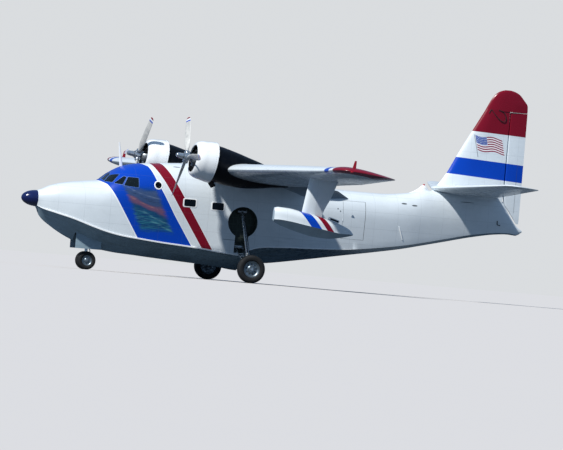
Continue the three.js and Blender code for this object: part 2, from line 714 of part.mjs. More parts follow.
function noseWheels() {
  const { y, width, rim, bore, sides } = NOSE_WHEEL;
  const half = width / 2;
  const disc = [
    [-half * 0.6, 0], [-half * 0.6, rim * 0.42], [-half * 0.25, rim * 0.5], [-half * 0.25, rim * 0.8],
    [-half * 0.66, rim], [half * 0.66, rim], [half * 0.25, rim * 0.8], [half * 0.25, rim * 0.5],
    [half * 0.6, rim * 0.42], [half * 0.6, 0],
  ];
  return join(
    turnedY(disc, sides).translate(0, -y, 0),
    turnedY(disc, sides).translate(0, y, 0),
    bar([0, -y, 0], [0, y, 0], bore, 16),
  );
}

function noseDoor() {
  const { front, back, half } = NOSE_BAY;
  const panel = block(front + 30, back - 30, half + 12, half + 36, 330, 1100);
  return cut(panel, grown(hullBlank, [2600, 0, 1500], 1.0008));
}

// Cockpit fittings

function seatGeometry() {
  const { floor } = COCKPIT;
  const outline = [
    [4120, floor + GAP], [4420, floor + GAP], [4420, floor + 330], [4560, floor + 1050], [4470, floor + 1070],
    [4330, floor + 440], [3960, floor + 470], [3950, floor + 370], [4120, floor + 350],
  ];
  return plateXZ(outline, 260, 760);
}

function panelGeometry() {
  const { floor } = COCKPIT;
  return join(
    block(3240, 3340, -860, 860, 2330, 2700),
    block(3240, 3460, -150, 150, floor + GAP, 2400),
  );
}

function columnsGeometry() {
  const { floor } = COCKPIT;
  const parts = [block(3570, 3650, -560, 560, floor + GAP, floor + 70)];
  for (const side of [-1, 1]) {
    parts.push(bar([3610, side * 510, floor + 30], [3690, side * 510, 2390], 26, 8));
    parts.push(bar([3690, side * 370, 2390], [3690, side * 650, 2390], 18, 8));
  }
  return join(...parts);
}

const mast = loft([
  [3480, 46], [3700, 40], [4290, 18],
].map(([z, r]) => Array.from({ length: 8 }, (_, i) => {
  const angle = (i / 8) * 2 * Math.PI;
  return [3642 - (z - 3480) * 0.16 + 1.3 * r * Math.cos(angle), 0.55 * r * Math.sin(angle), z];
})));
const mastFoot = cut(
  join(mast, block(3560, 3760, -50, 50, 3380, 3485)),
  grown(hullBlank, [3700, 0, 2900], 1.0008),
);

// The scene graph

const materials = Object.fromEntries(Object.entries(PAINT).map(([name, [color, roughness, metalness]]) => [
  name, new THREE.MeshStandardMaterial({ name, color, roughness, metalness }),
]));
materials.glass.transparent = true;
materials.glass.opacity = 0.4;

const aircraft = new THREE.Group();
aircraft.position.set(-LENGTH / 2, 0, KEEL_CLEARANCE);

function add(name, geometry, paint, parent = aircraft) {
  geometry.computeVertexNormals();
  const mesh = new THREE.Mesh(geometry, materials[paint]);
  mesh.name = name;
  parent.add(mesh);
  return mesh;
}

add('hull', hull, 'white');
add('radome', radome, 'navy');
add('cockpit_glazing', glazing, 'glass');
add('cabin_door', cabinDoor, 'white');
add('mast_antenna', mastFoot, 'white');
add('instrument_panel', panelGeometry(), 'trim');
add('control_columns', columnsGeometry(), 'dark');
add('wing_centre', wingCentre, 'white');
add('fin', fin, 'red');
add('tailplane', tailplane, 'white');
add('rudder', rudder, 'white');

const engine = engineGeometry();
const nacelle = nacelleGeometry();
const leg = mainLeg();
const brace = mainBrace();
const flap = movable(WING, FLAP, FLAP_AT);
const aileron = movable(WING, AILERON, AILERON_AT);
const elevator = movable(TAILPLANE, ELEVATOR, ELEVATOR_AT);
const seat = seatGeometry();
const door = noseDoor();

// Angle from upright, leaning to port, of each propeller's first blade
const PHASE = { port: -30, starboard: 34 };

for (const side of ['port', 'starboard']) {
  const sign = side === 'port' ? -1 : 1;
  const own = (geometry) => (sign < 0 ? mirrored(geometry) : join(geometry));
  add(`wing_${side}`, own(wingOuter), 'white');
  add(`flap_${side}`, own(flap), 'white');
  add(`aileron_${side}`, own(aileron), 'white');
  add(`elevator_${side}`, own(elevator), 'white');
  add(`nacelle_${side}`, own(nacelle), 'black');
  add(`float_${side}`, own(floatHull), 'white');
  add(`float_pylon_${side}`, own(pylon), 'white');
  add(`main_leg_${side}`, own(leg), 'metal');
  add(`main_brace_${side}`, own(brace), 'metal');
  add(`seat_${side}`, own(seat), 'trim');
  add(`nose_gear_door_${side}`, own(door), 'white');

  const powerplant = new THREE.Group();
  powerplant.position.set(ENGINE.x, sign * ENGINE.y, ENGINE.z);
  powerplant.rotation.y = TILT;
  aircraft.add(powerplant);
  add(`cowl_${side}`, cowl.clone(), 'white', powerplant);
  add(`engine_${side}`, engine.clone(), 'metal', powerplant);
  add(`propeller_${side}`, propellerGeometry(PHASE[side]), 'metal', powerplant).position.x = PROP_X;

  const wheelGroup = new THREE.Group();
  wheelGroup.position.set(MAIN_WHEEL.x, sign * MAIN_WHEEL.y, MAIN_WHEEL.radius - KEEL_CLEARANCE);
  aircraft.add(wheelGroup);
  add(`main_wheel_${side}`, wheelGeometry(MAIN_WHEEL), 'metal', wheelGroup);
  add(`main_tyre_${side}`, tyreGeometry(MAIN_WHEEL), 'rubber', wheelGroup);
}

add('nose_leg', noseLeg(), 'metal');
add('nose_fork', noseFork(), 'metal');
const noseAxle = new THREE.Group();
noseAxle.position.set(NOSE_WHEEL.x, 0, NOSE_AXLE_Z);
aircraft.add(noseAxle);
add('nose_wheels', noseWheels(), 'metal', noseAxle);
add('nose_tyre_port', tyreGeometry(NOSE_WHEEL).translate(0, -NOSE_WHEEL.y, 0), 'rubber', noseAxle);
add('nose_tyre_starboard', tyreGeometry(NOSE_WHEEL).translate(0, NOSE_WHEEL.y, 0), 'rubber', noseAxle);

export default aircraft;
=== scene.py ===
"""Looks of the twin-engined flying boat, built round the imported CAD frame.

Shapes are tabled in millimetres: X aft from the tip of the nose, Y to starboard, Z up from the keel at the
step. place() turns them into the frame's metres."""
from math import atan2, copysign, cos, pi, radians, sin, sqrt, tan

import bmesh
import bpy
import numpy as np
from mathutils import Matrix, Vector


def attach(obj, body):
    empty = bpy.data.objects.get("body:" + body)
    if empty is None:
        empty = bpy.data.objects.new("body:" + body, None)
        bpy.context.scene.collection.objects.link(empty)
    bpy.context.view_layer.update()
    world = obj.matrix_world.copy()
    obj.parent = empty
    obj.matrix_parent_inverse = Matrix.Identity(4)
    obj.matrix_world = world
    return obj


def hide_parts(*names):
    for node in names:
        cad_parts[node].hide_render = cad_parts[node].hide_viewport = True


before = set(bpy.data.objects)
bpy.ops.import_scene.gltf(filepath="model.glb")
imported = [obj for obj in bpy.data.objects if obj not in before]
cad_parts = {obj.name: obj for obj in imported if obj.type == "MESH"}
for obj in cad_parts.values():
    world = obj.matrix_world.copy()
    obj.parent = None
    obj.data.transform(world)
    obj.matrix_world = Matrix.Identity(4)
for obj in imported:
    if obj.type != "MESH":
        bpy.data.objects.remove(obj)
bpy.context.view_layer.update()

NOSE_X, KEEL_Z = -9.6, 0.42


def place(points):
    """Table millimetres to frame metres."""
    return np.asarray(points, float) / 1000 + (NOSE_X, 0, KEEL_Z)


def circle(count):
    """Angles set evenly round a full turn."""
    return np.arange(count) / count * 2 * pi


def pchip(x, y, q):
    """Monotone cubic through the table's rows, at the values q."""
    x, y, q = np.asarray(x, float), np.asarray(y, float), np.asarray(q, float)
    h = np.diff(x)[:, None]
    d = np.diff(y, axis=0) / h
    m = np.zeros_like(y)
    m[0], m[-1] = d[0], d[-1]
    w1, w2 = 2 * h[1:] + h[:-1], h[1:] + 2 * h[:-1]
    same = d[:-1] * d[1:] > 0
    safe = lambda v: np.where(same, v, 1.0)
    m[1:-1] = np.where(same, (w1 + w2) / (w1 / safe(d[:-1]) + w2 / safe(d[1:])), 0)
    k = np.clip(np.searchsorted(x, q, side="right") - 1, 0, len(x) - 2)
    t, hk = ((q - x[k]) / h[k, 0])[:, None], h[k]
    return (y[k] * (2 * t**3 - 3 * t**2 + 1) + hk * m[k] * (t**3 - 2 * t**2 + t)
            + y[k + 1] * (3 * t**2 - 2 * t**3) + hk * m[k + 1] * (t**3 - t**2))


def smooth_rows(table, stations):
    """The table's rows at any stations, on smooth curves through it."""
    table = np.asarray(table, float)
    stations = np.asarray(stations, float)
    return np.column_stack([stations, pchip(table[:, 0], table[:, 1:], stations)])


def stations(table, step, low, high):
    """The table's own stations, and evenly spread ones between them."""
    marks = [row[0] for row in table]
    low, high = marks[0] if low is None else low, marks[-1] if high is None else high
    marks = [low] + [v for v in marks if low < v < high] + [high]
    out = []
    for a, b in zip(marks, marks[1:]):
        out += list(np.linspace(a, b, max(1, round((b - a) / step)), endpoint=False))
    return out + [high]


def rows_of(table, step, low=None, high=None):
    """Smooth rows of a table at no more than a step from each other."""
    return smooth_rows(table, stations(table, step, low, high))


# Meshes

class Shape:
    """Points and faces in table millimetres, and each face's place in its object's list of materials."""

    def __init__(self):
        self.points, self.faces, self.paint, self.count = [], [], [], 0

    def add(self, points, faces, paint=0):
        points = np.asarray(points, float)
        self.points.append(points)
        self.faces += [[i + self.count for i in face] for face in faces]
        self.paint += list(paint) if isinstance(paint, (list, tuple)) else [paint] * len(faces)
        self.count += len(points)
        return self

    def merge(self, other):
        return self.add(other.all(), other.faces, other.paint)

    def all(self):
        return np.concatenate(self.points)

    def moved(self, matrix):
        """A copy through a 4x4 matrix; a mirroring one turns its faces round."""
        m = np.array(matrix)
        out = Shape()
        faces = [f[::-1] for f in self.faces] if np.linalg.det(m[:3, :3]) < 0 else self.faces
        return out.add(self.all() @ m[:3, :3].T + m[:3, 3], faces, self.paint)


def solid(*parts):
    """Shape made of what loft, lathe, tube, slab and box give back."""
    shape = Shape()
    for part in parts:
        shape.add(*part)
    return shape


MIRROR = Matrix.Scale(-1, 4, (0, 1, 0))
SIDES = (("port", -1, MIRROR), ("starboard", 1, Matrix.Identity(4)))


def move(x=0, y=0, z=0):
    return Matrix.Translation((x, y, z))


def turn(axis, degrees, about=(0, 0, 0)):
    return move(*about) @ Matrix.Rotation(radians(degrees), 4, axis) @ move(*[-v for v in about])


def loft(rings, caps=True, paint=0):
    """Skin through rings of equal length; paint may be one number for each strip round the ring."""
    count = len(rings[0])
    points = np.concatenate([np.asarray(r, float) for r in rings])
    faces, marks = [], []
    for s in range(len(rings) - 1):
        for i in range(count):
            j = (i + 1) % count
            faces.append([s * count + i, s * count + j, (s + 1) * count + j, (s + 1) * count + i])
            marks.append(paint[i] if isinstance(paint, list) else paint)
    if caps:
        end = (len(rings) - 1) * count
        faces += [list(range(count))[::-1], [end + i for i in range(count)]]
        marks += [marks[0]] * 2
    return points, faces, marks


AXES = {
    "X": ((0, 1, 0), (0, 0, 1), (1, 0, 0)),
    "Y": ((0, 0, 1), (1, 0, 0), (0, 1, 0)),
    "Z": ((1, 0, 0), (0, 1, 0), (0, 0, 1)),
}


def lathe(profile, axis="X", sides=48, at=(0, 0, 0), paint=0, caps=True):
    """Turned about an axis: profile rows are [along, radius]."""
    u, v, w = (np.array(a, float) for a in AXES[axis])
    angles = circle(sides)
    rings = [np.array(at) + along * w + r * (np.cos(angles)[:, None] * u + np.sin(angles)[:, None] * v)
             for along, r in profile]
    return loft(rings, caps=caps, paint=paint)


def ring_profile(profile, axis="X", sides=48, paint=0):
    """As lathe, for a profile that closes on itself, such as a tyre's or a cowl's."""
    points, faces, marks = lathe(profile + profile[:1], axis, sides, paint=paint, caps=False)
    last = len(profile) * sides
    faces = [[i - last if i >= last else i for i in f] for f in faces]
    return points[:last], faces, marks


def tube(path, radius, sides=12, paint=0):
    """Round tube along a path; radius may be one number for each point."""
    path = [Vector(p) for p in path]
    radii = radius if isinstance(radius, (list, tuple)) else [radius] * len(path)
    rings, up = [], None
    for i, p in enumerate(path):
        way = (path[min(i + 1, len(path) - 1)] - path[max(i - 1, 0)]).normalized()
        if up is None:
            up = way.orthogonal().normalized()
        up = (up - way * up.dot(way)).normalized()
        side = way.cross(up)
        rings.append([p + radii[i] * (cos(a) * up + sin(a) * side)
                      for a in circle(sides)])
    return loft(rings, paint=paint)


def slab(outline, low, high, axis="Y", paint=0):
    """Flat outline, thick along one axis: X takes (y, z), Y takes (x, z) and Z takes (x, y) outlines."""
    at = "XYZ".index(axis)
    return loft([[(*p[:at], depth, *p[at:]) for p in outline] for depth in (low, high)], paint=paint)


BEVEL_STEPS, CORNER_STEPS = 2, 5


def box(x0, x1, y0, y1, z0, z1, paint=0, round_by=0):
    """Block, with its edges rounded where round_by is given."""
    bm = bmesh.new()
    bmesh.ops.create_cube(bm, size=1)
    bmesh.ops.scale(bm, vec=(x1 - x0, y1 - y0, z1 - z0), verts=bm.verts)
    bmesh.ops.translate(bm, vec=((x0 + x1) / 2, (y0 + y1) / 2, (z0 + z1) / 2), verts=bm.verts)
    if round_by:
        bmesh.ops.bevel(bm, geom=list(bm.edges), offset=round_by, segments=BEVEL_STEPS, profile=0.5,
                        affect="EDGES")
    bm.verts.index_update()
    out = [tuple(v.co) for v in bm.verts], [[v.index for v in f.verts] for f in bm.faces]
    bm.free()
    return out[0], out[1], [paint] * len(out[1])


def rounded(points, radius):
    """Outline with its corners rounded."""
    out = []
    points = np.array(points, float)
    for a, b, c in zip(np.roll(points, 1, 0), points, np.roll(points, -1, 0)):
        before, after = np.linalg.norm(a - b), np.linalg.norm(c - b)
        u, v = (a - b) / before, (c - b) / after
        r = min(radius, before / 2.1, after / 2.1)
        for t in np.linspace(0, 1, CORNER_STEPS):
            out.append(tuple((1 - t) ** 2 * (b + u * r) + 2 * t * (1 - t) * b + t * t * (b + v * r)))
    return out


SMOOTH_UNDER = radians(32)


def soften(obj):
    """Smooth shading, but for the edges that are sharper than SMOOTH_UNDER."""
    obj.data.shade_smooth()
    obj.data.set_sharp_from_angle(angle=SMOOTH_UNDER)


def linked(name, data):
    """New object in the scene."""
    obj = bpy.data.objects.new(name, data)
    bpy.context.scene.collection.objects.link(obj)
    return obj


def mesh_object(name, shape, paints):
    mesh = bpy.data.meshes.new(name)
    mesh.from_pydata([tuple(p) for p in place(shape.all())], [], shape.faces)
    mesh.polygons.foreach_set("material_index", shape.paint)
    for paint in paints:
        mesh.materials.append(paint)
    bm = bmesh.new()
    bm.from_mesh(mesh)
    bmesh.ops.recalc_face_normals(bm, faces=bm.faces)
    bm.to_mesh(mesh)
    bm.free()
    obj = linked(name, mesh)
    soften(obj)
    return obj


def carve(obj, tools, keep_common=False):
    """Cuts the tools out of the object, or keeps only what it shares with the one tool."""
    for shape in tools:
        tool = mesh_object("tool", shape, obj.data.materials)
        step = obj.modifiers.new("carve", "BOOLEAN")
        step.operation = "INTERSECT" if keep_common else "DIFFERENCE"
        step.solver = "EXACT"
        step.object = tool
        bpy.context.view_layer.update()
        mesh = bpy.data.meshes.new_from_object(obj.evaluated_get(bpy.context.evaluated_depsgraph_get()))
        obj.modifiers.clear()
        obj.data = mesh
        bpy.data.objects.remove(tool)
    return obj


def piece(name, obj, node=None, body="airframe"):
    """Names a finished object, softens it, hangs it on its body and hides the node it stands for."""
    obj.name = obj.data.name = name
    soften(obj)
    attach(obj, body)
    if node:
        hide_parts(node)
    return obj


def build(name, shape, paints, node=None, body="airframe"):
    return piece(name, mesh_object(name, shape, paints), node, body)


def build_pair(name, shape, paints, node=None, body=None):
    """A piece as it is shaped to starboard, and its mirror image to port."""
    for side, _, flip in SIDES:
        build(f"{name}_{side}", shape.moved(flip), paints,
              f"{node}_{side}" if node else None, f"{body}_{side}" if body else "airframe")


# Materials

def linear(code):
    """Screen colour as a hex code to scene-linear red, green, blue and alpha."""
    out = []
    for shift in (16, 8, 0):
        v = (code >> shift & 255) / 255
        out.append(v / 12.92 if v <= 0.04045 else ((v + 0.055) / 1.055) ** 2.4)
    return (*out, 1)


class Val:
    """A number in a material's node tree, on which arithmetic builds math nodes."""

    def __init__(self, mat, socket):
        self.mat, self.socket = mat, socket

    def op(self, kind, *others, clamp=False):
        node = self.mat.node("Math")
        node.operation, node.use_clamp = kind, clamp
        for i, v in enumerate((self, *others)):
            if isinstance(v, Val):
                self.mat.link(v.socket, node.inputs[i])
            else:
                node.inputs[i].default_value = v
        return Val(self.mat, node.outputs[0])

    __add__ = __radd__ = lambda s, o: s.op("ADD", o)
    __sub__ = lambda s, o: s.op("SUBTRACT", o)
    __rsub__ = lambda s, o: (s * -1) + o
    __mul__ = __rmul__ = lambda s, o: s.op("MULTIPLY", o)
    __truediv__ = lambda s, o: s.op("DIVIDE", o)

    def abs(self):
        return self.op("ABSOLUTE")

    def most(self, other):
        return self.op("MAXIMUM", other)

    def step(self, low, high, to_low=0.0, to_high=1.0):
        """Smooth rise from one value to another between two limits."""
        node = self.mat.node("MapRange", From_Min=low, From_Max=high, To_Min=to_low, To_Max=to_high)
        node.interpolation_type = "SMOOTHSTEP"
        self.mat.link(self.socket, node.inputs["Value"])
        return Val(self.mat, node.outputs["Result"])

    def above(self, edge, soft=0.003):
        return (self - edge).step(-soft, soft)

    def between(self, low, high, soft=0.003):
        return self.above(low, soft) * (1 - self.above(high, soft))

    def curve(self, points):
        """Straight lines through (in, out) points in metres."""
        xs, ys = [p[0] for p in points], [p[1] for p in points]
        x0, x1, y0, y1 = min(xs), max(xs), min(ys), max(ys)
        node = self.mat.node("FloatCurve")
        unit = (self - x0) / (x1 - x0)
        self.mat.link(unit.op("ADD", 0.0, clamp=True).socket, node.inputs["Value"])
        line = node.mapping.curves[0]
        spread = [((x - x0) / (x1 - x0), (y - y0) / (y1 - y0)) for x, y in points]
        while len(line.points) < len(spread):
            line.points.new(0.5, 0.5)
        for point, (u, v) in zip(line.points, sorted(spread)):
            point.location = (u, v)
            point.handle_type = "VECTOR"
        node.mapping.update()
        return Val(self.mat, node.outputs[0]) * (y1 - y0) + y0

    def comb(self, spacing, width, offset=0.0):
        """1 on thin lines set evenly along this coordinate, in metres."""
        phase = ((self + (1000 * spacing - offset)) / spacing).op("FRACT")
        edge = (phase - 0.5).abs() * (2 * spacing)
        return (edge - (spacing - width)).step(0, width * 0.6)


class Mat:
    """A material under construction: coordinates, colour layers, roughness and bump."""

    def __init__(self, name, colour, rough=0.4, metal=0.0, **sockets):
        self.mat = bpy.data.materials.new(name)
        self.mat.use_nodes = True
        self.tree = self.mat.node_tree
        self.shader = self.tree.nodes["Principled BSDF"]
        self.fill(self.shader, Metallic=metal, Roughness=rough, **sockets)
        self.base = rough
        self.coords = self.node("TexCoord").outputs["Object"]
        split = self.node("SeparateXYZ")
        self.link(self.coords, split.inputs[0])
        x, self.y, z = (Val(self, split.outputs[i]) for i in range(3))
        self.x, self.z = x - NOSE_X, z - KEEL_Z
        self.plain = linear(colour)
        self.layer = None

    def fill(self, node, **inputs):
        """Sets inputs by name, with an underscore for each space."""
        for key, v in inputs.items():
            node.inputs[key.replace("_", " ")].default_value = v
        return node

    def node(self, kind, **inputs):
        return self.fill(self.tree.nodes.new("ShaderNode" + kind), **inputs)

    def link(self, start, end):
        self.tree.links.new(start, end)

    def noise(self, scale, detail=3, stretch=(1, 1, 1)):
        at = self.node("Mapping", Scale=stretch)
        self.link(self.coords, at.inputs["Vector"])
        node = self.node("TexNoise", Scale=scale, Detail=detail)
        self.link(at.outputs[0], node.inputs["Vector"])
        return Val(self, node.outputs["Fac"])

    def over(self, mask, colour):
        """Lays a colour over what is there, where the mask is 1."""
        node = self.node("Mix")
        node.data_type = "RGBA"
        self.link(mask.socket, node.inputs["Factor"])
        if self.layer is None:
            node.inputs["A"].default_value = self.plain
        else:
            self.link(self.layer, node.inputs["A"])
        node.inputs["B"].default_value = linear(colour)
        self.layer = node.outputs["Result"]
        return self

    def tint(self, amount=0.06, scale=1.2, colour=0x8d9aa2):
        """Faint cloudy change of colour, as on weathered paint."""
        return self.over(self.noise(scale).step(0.35, 0.75, 0, amount), colour)

    def bump(self, height, depth, strength):
        """Relief in metres, on top of any relief laid before."""
        node = self.node("Bump", Strength=strength, Distance=depth)
        self.link(height.socket, node.inputs["Height"])
        before = self.shader.inputs["Normal"]
        if before.is_linked:
            self.link(before.links[0].from_socket, node.inputs["Normal"])
        self.link(node.outputs[0], before)
        return self

    def rough(self, scale, spread):
        """Patchy gloss round the base roughness."""
        value = self.noise(scale).step(0.25, 0.8, self.base - spread, self.base + spread)
        self.link(value.socket, self.shader.inputs["Roughness"])
        return self

    def done(self):
        if self.layer is None:
            self.shader.inputs["Base Color"].default_value = self.plain
        else:
            self.link(self.layer, self.shader.inputs["Base Color"])
        return self.mat


# Shape tables with the CAD source's stations, except that the front of the float's chine is lower here.
# Their columns:
# HULL: x, keel, chine half breadth and height, shoulder half breadth and height, top
# WING and TAILPLANE: y, leading edge x and z, chord, thickness ratio, incidence in degrees
# FIN, FIN_CAP, RUDDER and PYLON: z, leading edge x, trailing edge x, half thickness
# FLOAT: x, keel, chine half breadth and height, deck
# BLADE: radius, chord, thickness, pitch in degrees
# NACELLE: x, middle height, half breadth, half height

HULL = [
    [560, 1690, 210, 1745, 300, 2010, 2300],
    [700, 1400, 350, 1670, 390, 2020, 2350],
    [1100, 1080, 590, 1560, 630, 2000, 2540],
    [1800, 700, 860, 1375, 870, 1960, 2715],
    [2500, 445, 1020, 1150, 1040, 1950, 2815],
    [2810, 385, 1070, 1060, 1100, 1960, 2860],
    [3190, 330, 1120, 970, 1150, 2000, 3150],
    [3580, 285, 1160, 905, 1190, 2100, 3390],
    [3800, 268, 1175, 880, 1205, 2150, 3480],
    [4200, 250, 1190, 845, 1220, 2200, 3570],
    [5100, 200, 1200, 770, 1230, 2250, 3660],
    [6200, 150, 1200, 705, 1230, 2250, 3740],
    [7350, 95, 1200, 600, 1230, 2250, 3760],
    [8340, 0, 1200, 540, 1230, 2250, 3720],
    [8360, 200, 1195, 740, 1230, 2250, 3720],
    [9570, 370, 1165, 960, 1220, 2250, 3600],
    [11000, 620, 1095, 1025, 1170, 2240, 3360],
    [12300, 860, 975, 1110, 1065, 2260, 3255],
    [13520, 1080, 835, 1270, 930, 2300, 3250],
    [14640, 1300, 675, 1460, 780, 2360, 3360],
    [15300, 1460, 555, 1600, 660, 2420, 3520],
    [16200, 1680, 410, 1810, 500, 2500, 3500],
    [17260, 1940, 250, 2040, 320, 2600, 3460],
    [18250, 2120, 140, 2180, 185, 2640, 3430],
    [18620, 2150, 105, 2200, 140, 2500, 2930],
    [18980, 2130, 70, 2170, 95, 2320, 2470],
    [19200, 2270, 25, 2280, 35, 2300, 2330],
]
WING = [
    [0, 6460, 3600, 3950, 0.178, 5.1],
    [3900, 6560, 3600, 3880, 0.155, 5.1],
    [4300, 6580, 3606, 3850, 0.153, 5.1],
    [9000, 6885, 3680, 3150, 0.156, 4.6],
    [13500, 7175, 3755, 2430, 0.148, 4],
    [14100, 7225, 3795, 2300, 0.137, 4.3],
    [14450, 7330, 3810, 2020, 0.115, 4.8],
    [14650, 7520, 3800, 1680, 0.085, 5.2],
    [14730, 7760, 3780, 1250, 0.02, 5.4],
]
TAILPLANE = [
    [0, 15560, 3620, 2570, 0.12, 3.6],
    [3900, 16700, 3850, 1460, 0.1, 3.6],
    [4500, 16900, 3885, 1250, 0.085, 3.6],
    [4660, 17050, 3890, 1070, 0.05, 3.6],
    [4720, 17300, 3880, 760, 0.02, 3.6],
]
FIN = [
    [3300, 15380, 18310, 190],
    [3740, 15780, 18315, 175],
    [4240, 16110, 18320, 160],
    [4850, 16420, 18330, 145],
    [6700, 17430, 18360, 100],
]
FIN_CAP = [
    [6660, 17405, 19050, 98],
    [6900, 17520, 19040, 92],
    [7160, 17670, 18850, 82],
    [7330, 17830, 18680, 66],
    [7420, 18010, 18480, 45],
    [7450, 18130, 18340, 20],
]
RUDDER = [
    [2560, 18955, 19042, 22],
    [2700, 18850, 19046, 38],
    [3000, 18620, 19050, 52],
    [3300, 18410, 19052, 62],
    [3700, 18345, 19052, 70],
    [6640, 18385, 19052, 52],
]
FLOAT = [
    [6277, 1850, 110, 1915, 2330],
    [6397, 1780, 205, 1920, 2365],
    [6807, 1640, 330, 1885, 2350],
    [7307, 1510, 400, 1805, 2265],
    [7777, 1420, 415, 1735, 2185],
    [8317, 1390, 385, 1650, 2060],
    [8777, 1450, 290, 1600, 1925],
    [9137, 1540, 150, 1600, 1760],
    [9247, 1570, 70, 1600, 1640],
]
PYLON = [
    [1900, 7262, 8017, 95],
    [2230, 7302, 8077, 95],
    [2870, 7402, 8362, 110],
    [3420, 7487, 8557, 120],
    [3680, 7525, 8650, 127],
]
BLADE = [
    [60, 110, 110, 60],
    [260, 120, 104, 56],
    [480, 200, 62, 48],
    [820, 240, 44, 38],
    [1200, 243, 32, 30],
    [1520, 222, 24, 25],
    [1620, 185, 18, 23.5],
    [1662, 120, 14, 22.5],
    [1675, 50, 8, 22],
]
TILT = 7.5
ENGINE = (5800, 3140, 3850)
ENGINE_Y = ENGINE[1] / 1000
FIREWALL = 352
NACELLE = [
    [ENGINE[0] + FIREWALL * cos(radians(TILT)), ENGINE[2] - FIREWALL * sin(radians(TILT)),
     640, 640],
    [6500, 3722, 635, 662],
    [7000, 3622, 600, 628],
    [7500, 3535, 540, 555],
    [8000, 3475, 450, 455],
    [8500, 3398, 330, 312],
    [9050, 3300, 130, 160],
]
FLAP, AILERON, ELEVATOR = (1500, 8700), (8800, 13800), (430, 4500)
FLAP_AT, AILERON_AT, ELEVATOR_AT = 0.76, 0.77, 0.62
SPLIT_Y, TIP_Y, TAIL_TIP_Y, PYLON_Y = 4300, 14730, 4720, 10600
CAMBER = 0.01
COCKPIT = {"front": 2780, "back": 5300, "floor": 1750}
CABIN = {"front": 9000, "back": 17000, "floor": 1200}
WALL = 60
DOOR = (11900, 12800, 1480, 2880)
MAIN_X, MAIN_Y, AXLE_Z = 8070, 2690, 88
NOSE_LEG_X, NOSE_WHEEL_Y, NOSE_AXLE_Z = 2600, 160, -90
WELL = (MAIN_X, 1760, 560)
PHASE = {"port": -30, "starboard": 34}


# Paints

BLUE, RED, WHITE, BRIGHT = 0x0140b2, 0x7c0820, 0xdfe6ea, 0xfcfdfd
SEAM, SEAM_WIDE, PAINT_EDGE = 0x5c666c, 0.008, 0.004

# Edges of the hull's two painted bands, as x and z in metres
BLUE_FRONT = [(2.70, 3.60), (2.74, 2.86), (2.956, 2.729), (3.137, 2.471), (3.612, 1.718), (4.161, 0.862),
              (4.42, 0.45)]
BLUE_REAR = [(4.30, 3.60), (4.37, 3.56), (4.50, 3.50), (4.585, 3.34), (4.752, 2.97), (5.48, 1.79),
             (6.209, 0.724), (6.45, 0.4)]
RED_FRONT = [(4.62, 3.66), (4.775, 3.40), (5.596, 2.156), (6.617, 0.673), (6.8, 0.4)]
RED_REAR = [(5.03, 3.68), (5.146, 3.50), (5.911, 2.291), (6.98, 0.702), (7.18, 0.4)]

# Slots in the hull's side, painted dark as the shade inside them: x, z, half length and half height in metres
SLOTS = [(14.35, 2.95, 0.11, 0.03), (14.76, 2.91, 0.11, 0.03), (5.57, 3.56, 0.14, 0.016),
         (11.694, 2.554, 0.025, 0.03), (11.797, 2.471, 0.025, 0.03), (7.6, 1.09, 0.28, 0.008),
         (16.9, 3.2, 0.3, 0.012)]

# Hinge covers under the wing: y and x in metres
HINGE_COVERS = [(12.88, 9.2), (11.14, 9.43), (9.38, 9.66), (8.0, 9.76), (7.3, 9.68)]

# Bands across the floats: front, rear and colour, leaning aft with height
FLOAT_SLANT = 0.8
FLOAT_BANDS = [(7.474, 7.83, BLUE), (8.01, 8.24, RED)]


def slant(m, points):
    """The X at which a painted edge passes each height."""
    return m.z.curve([(z, x) for x, z in points])


def seams(m, rows, depth=0.0012):
    """Panel joints: each row is (coordinate, spacing in metres, offset)."""
    total = None
    for coord, spacing, offset in rows:
        line = coord.comb(spacing, SEAM_WIDE, offset)
        total = line if total is None else total.most(line)
    m.over(total * 0.35, SEAM)
    m.bump(1 - total, depth, 0.5)


def flat_seams(m, long, across):
    """Panel joints in colour alone; long and across are (spacing in metres, offset)."""
    m.over(m.x.comb(long[0], SEAM_WIDE, long[1]).most(m.y.comb(across[0], SEAM_WIDE, across[1])) * 0.3, SEAM)


def oval(u, v, half_u, half_v, low, high):
    """1 inside an oval about the point where u and v are nil, fading out between two sizes."""
    return 1 - ((u / half_u).op("POWER", 2) + (v / half_v).op("POWER", 2)).step(low, high)


def white_paint(name, colour=WHITE, streak=(0.5, 3, 3), stain=0.12):
    m = Mat(name, colour, 0.28, Specular_IOR_Level=0.3, Coat_Weight=0.1, Coat_Roughness=0.12)
    m.tint(0.08, 1.1)
    m.over(m.noise(2.2, 4, streak).step(0.5, 0.85, 0, stain), 0xa9b1b3)
    return m.rough(1.5, 0.02)


def flying_paint(name):
    """White paint of the wing and tailplane, with its stains along the chord."""
    return white_paint(name, streak=(1.4, 0.5, 1), stain=0.05)


def crossed(m, front, rear, ahead=0, behind=0):
    """1 between two slanting edges, moved forward and back by metres."""
    edge = (-PAINT_EDGE, PAINT_EDGE)
    return (m.x - front + ahead).step(*edge) * (rear + behind - m.x).step(*edge)


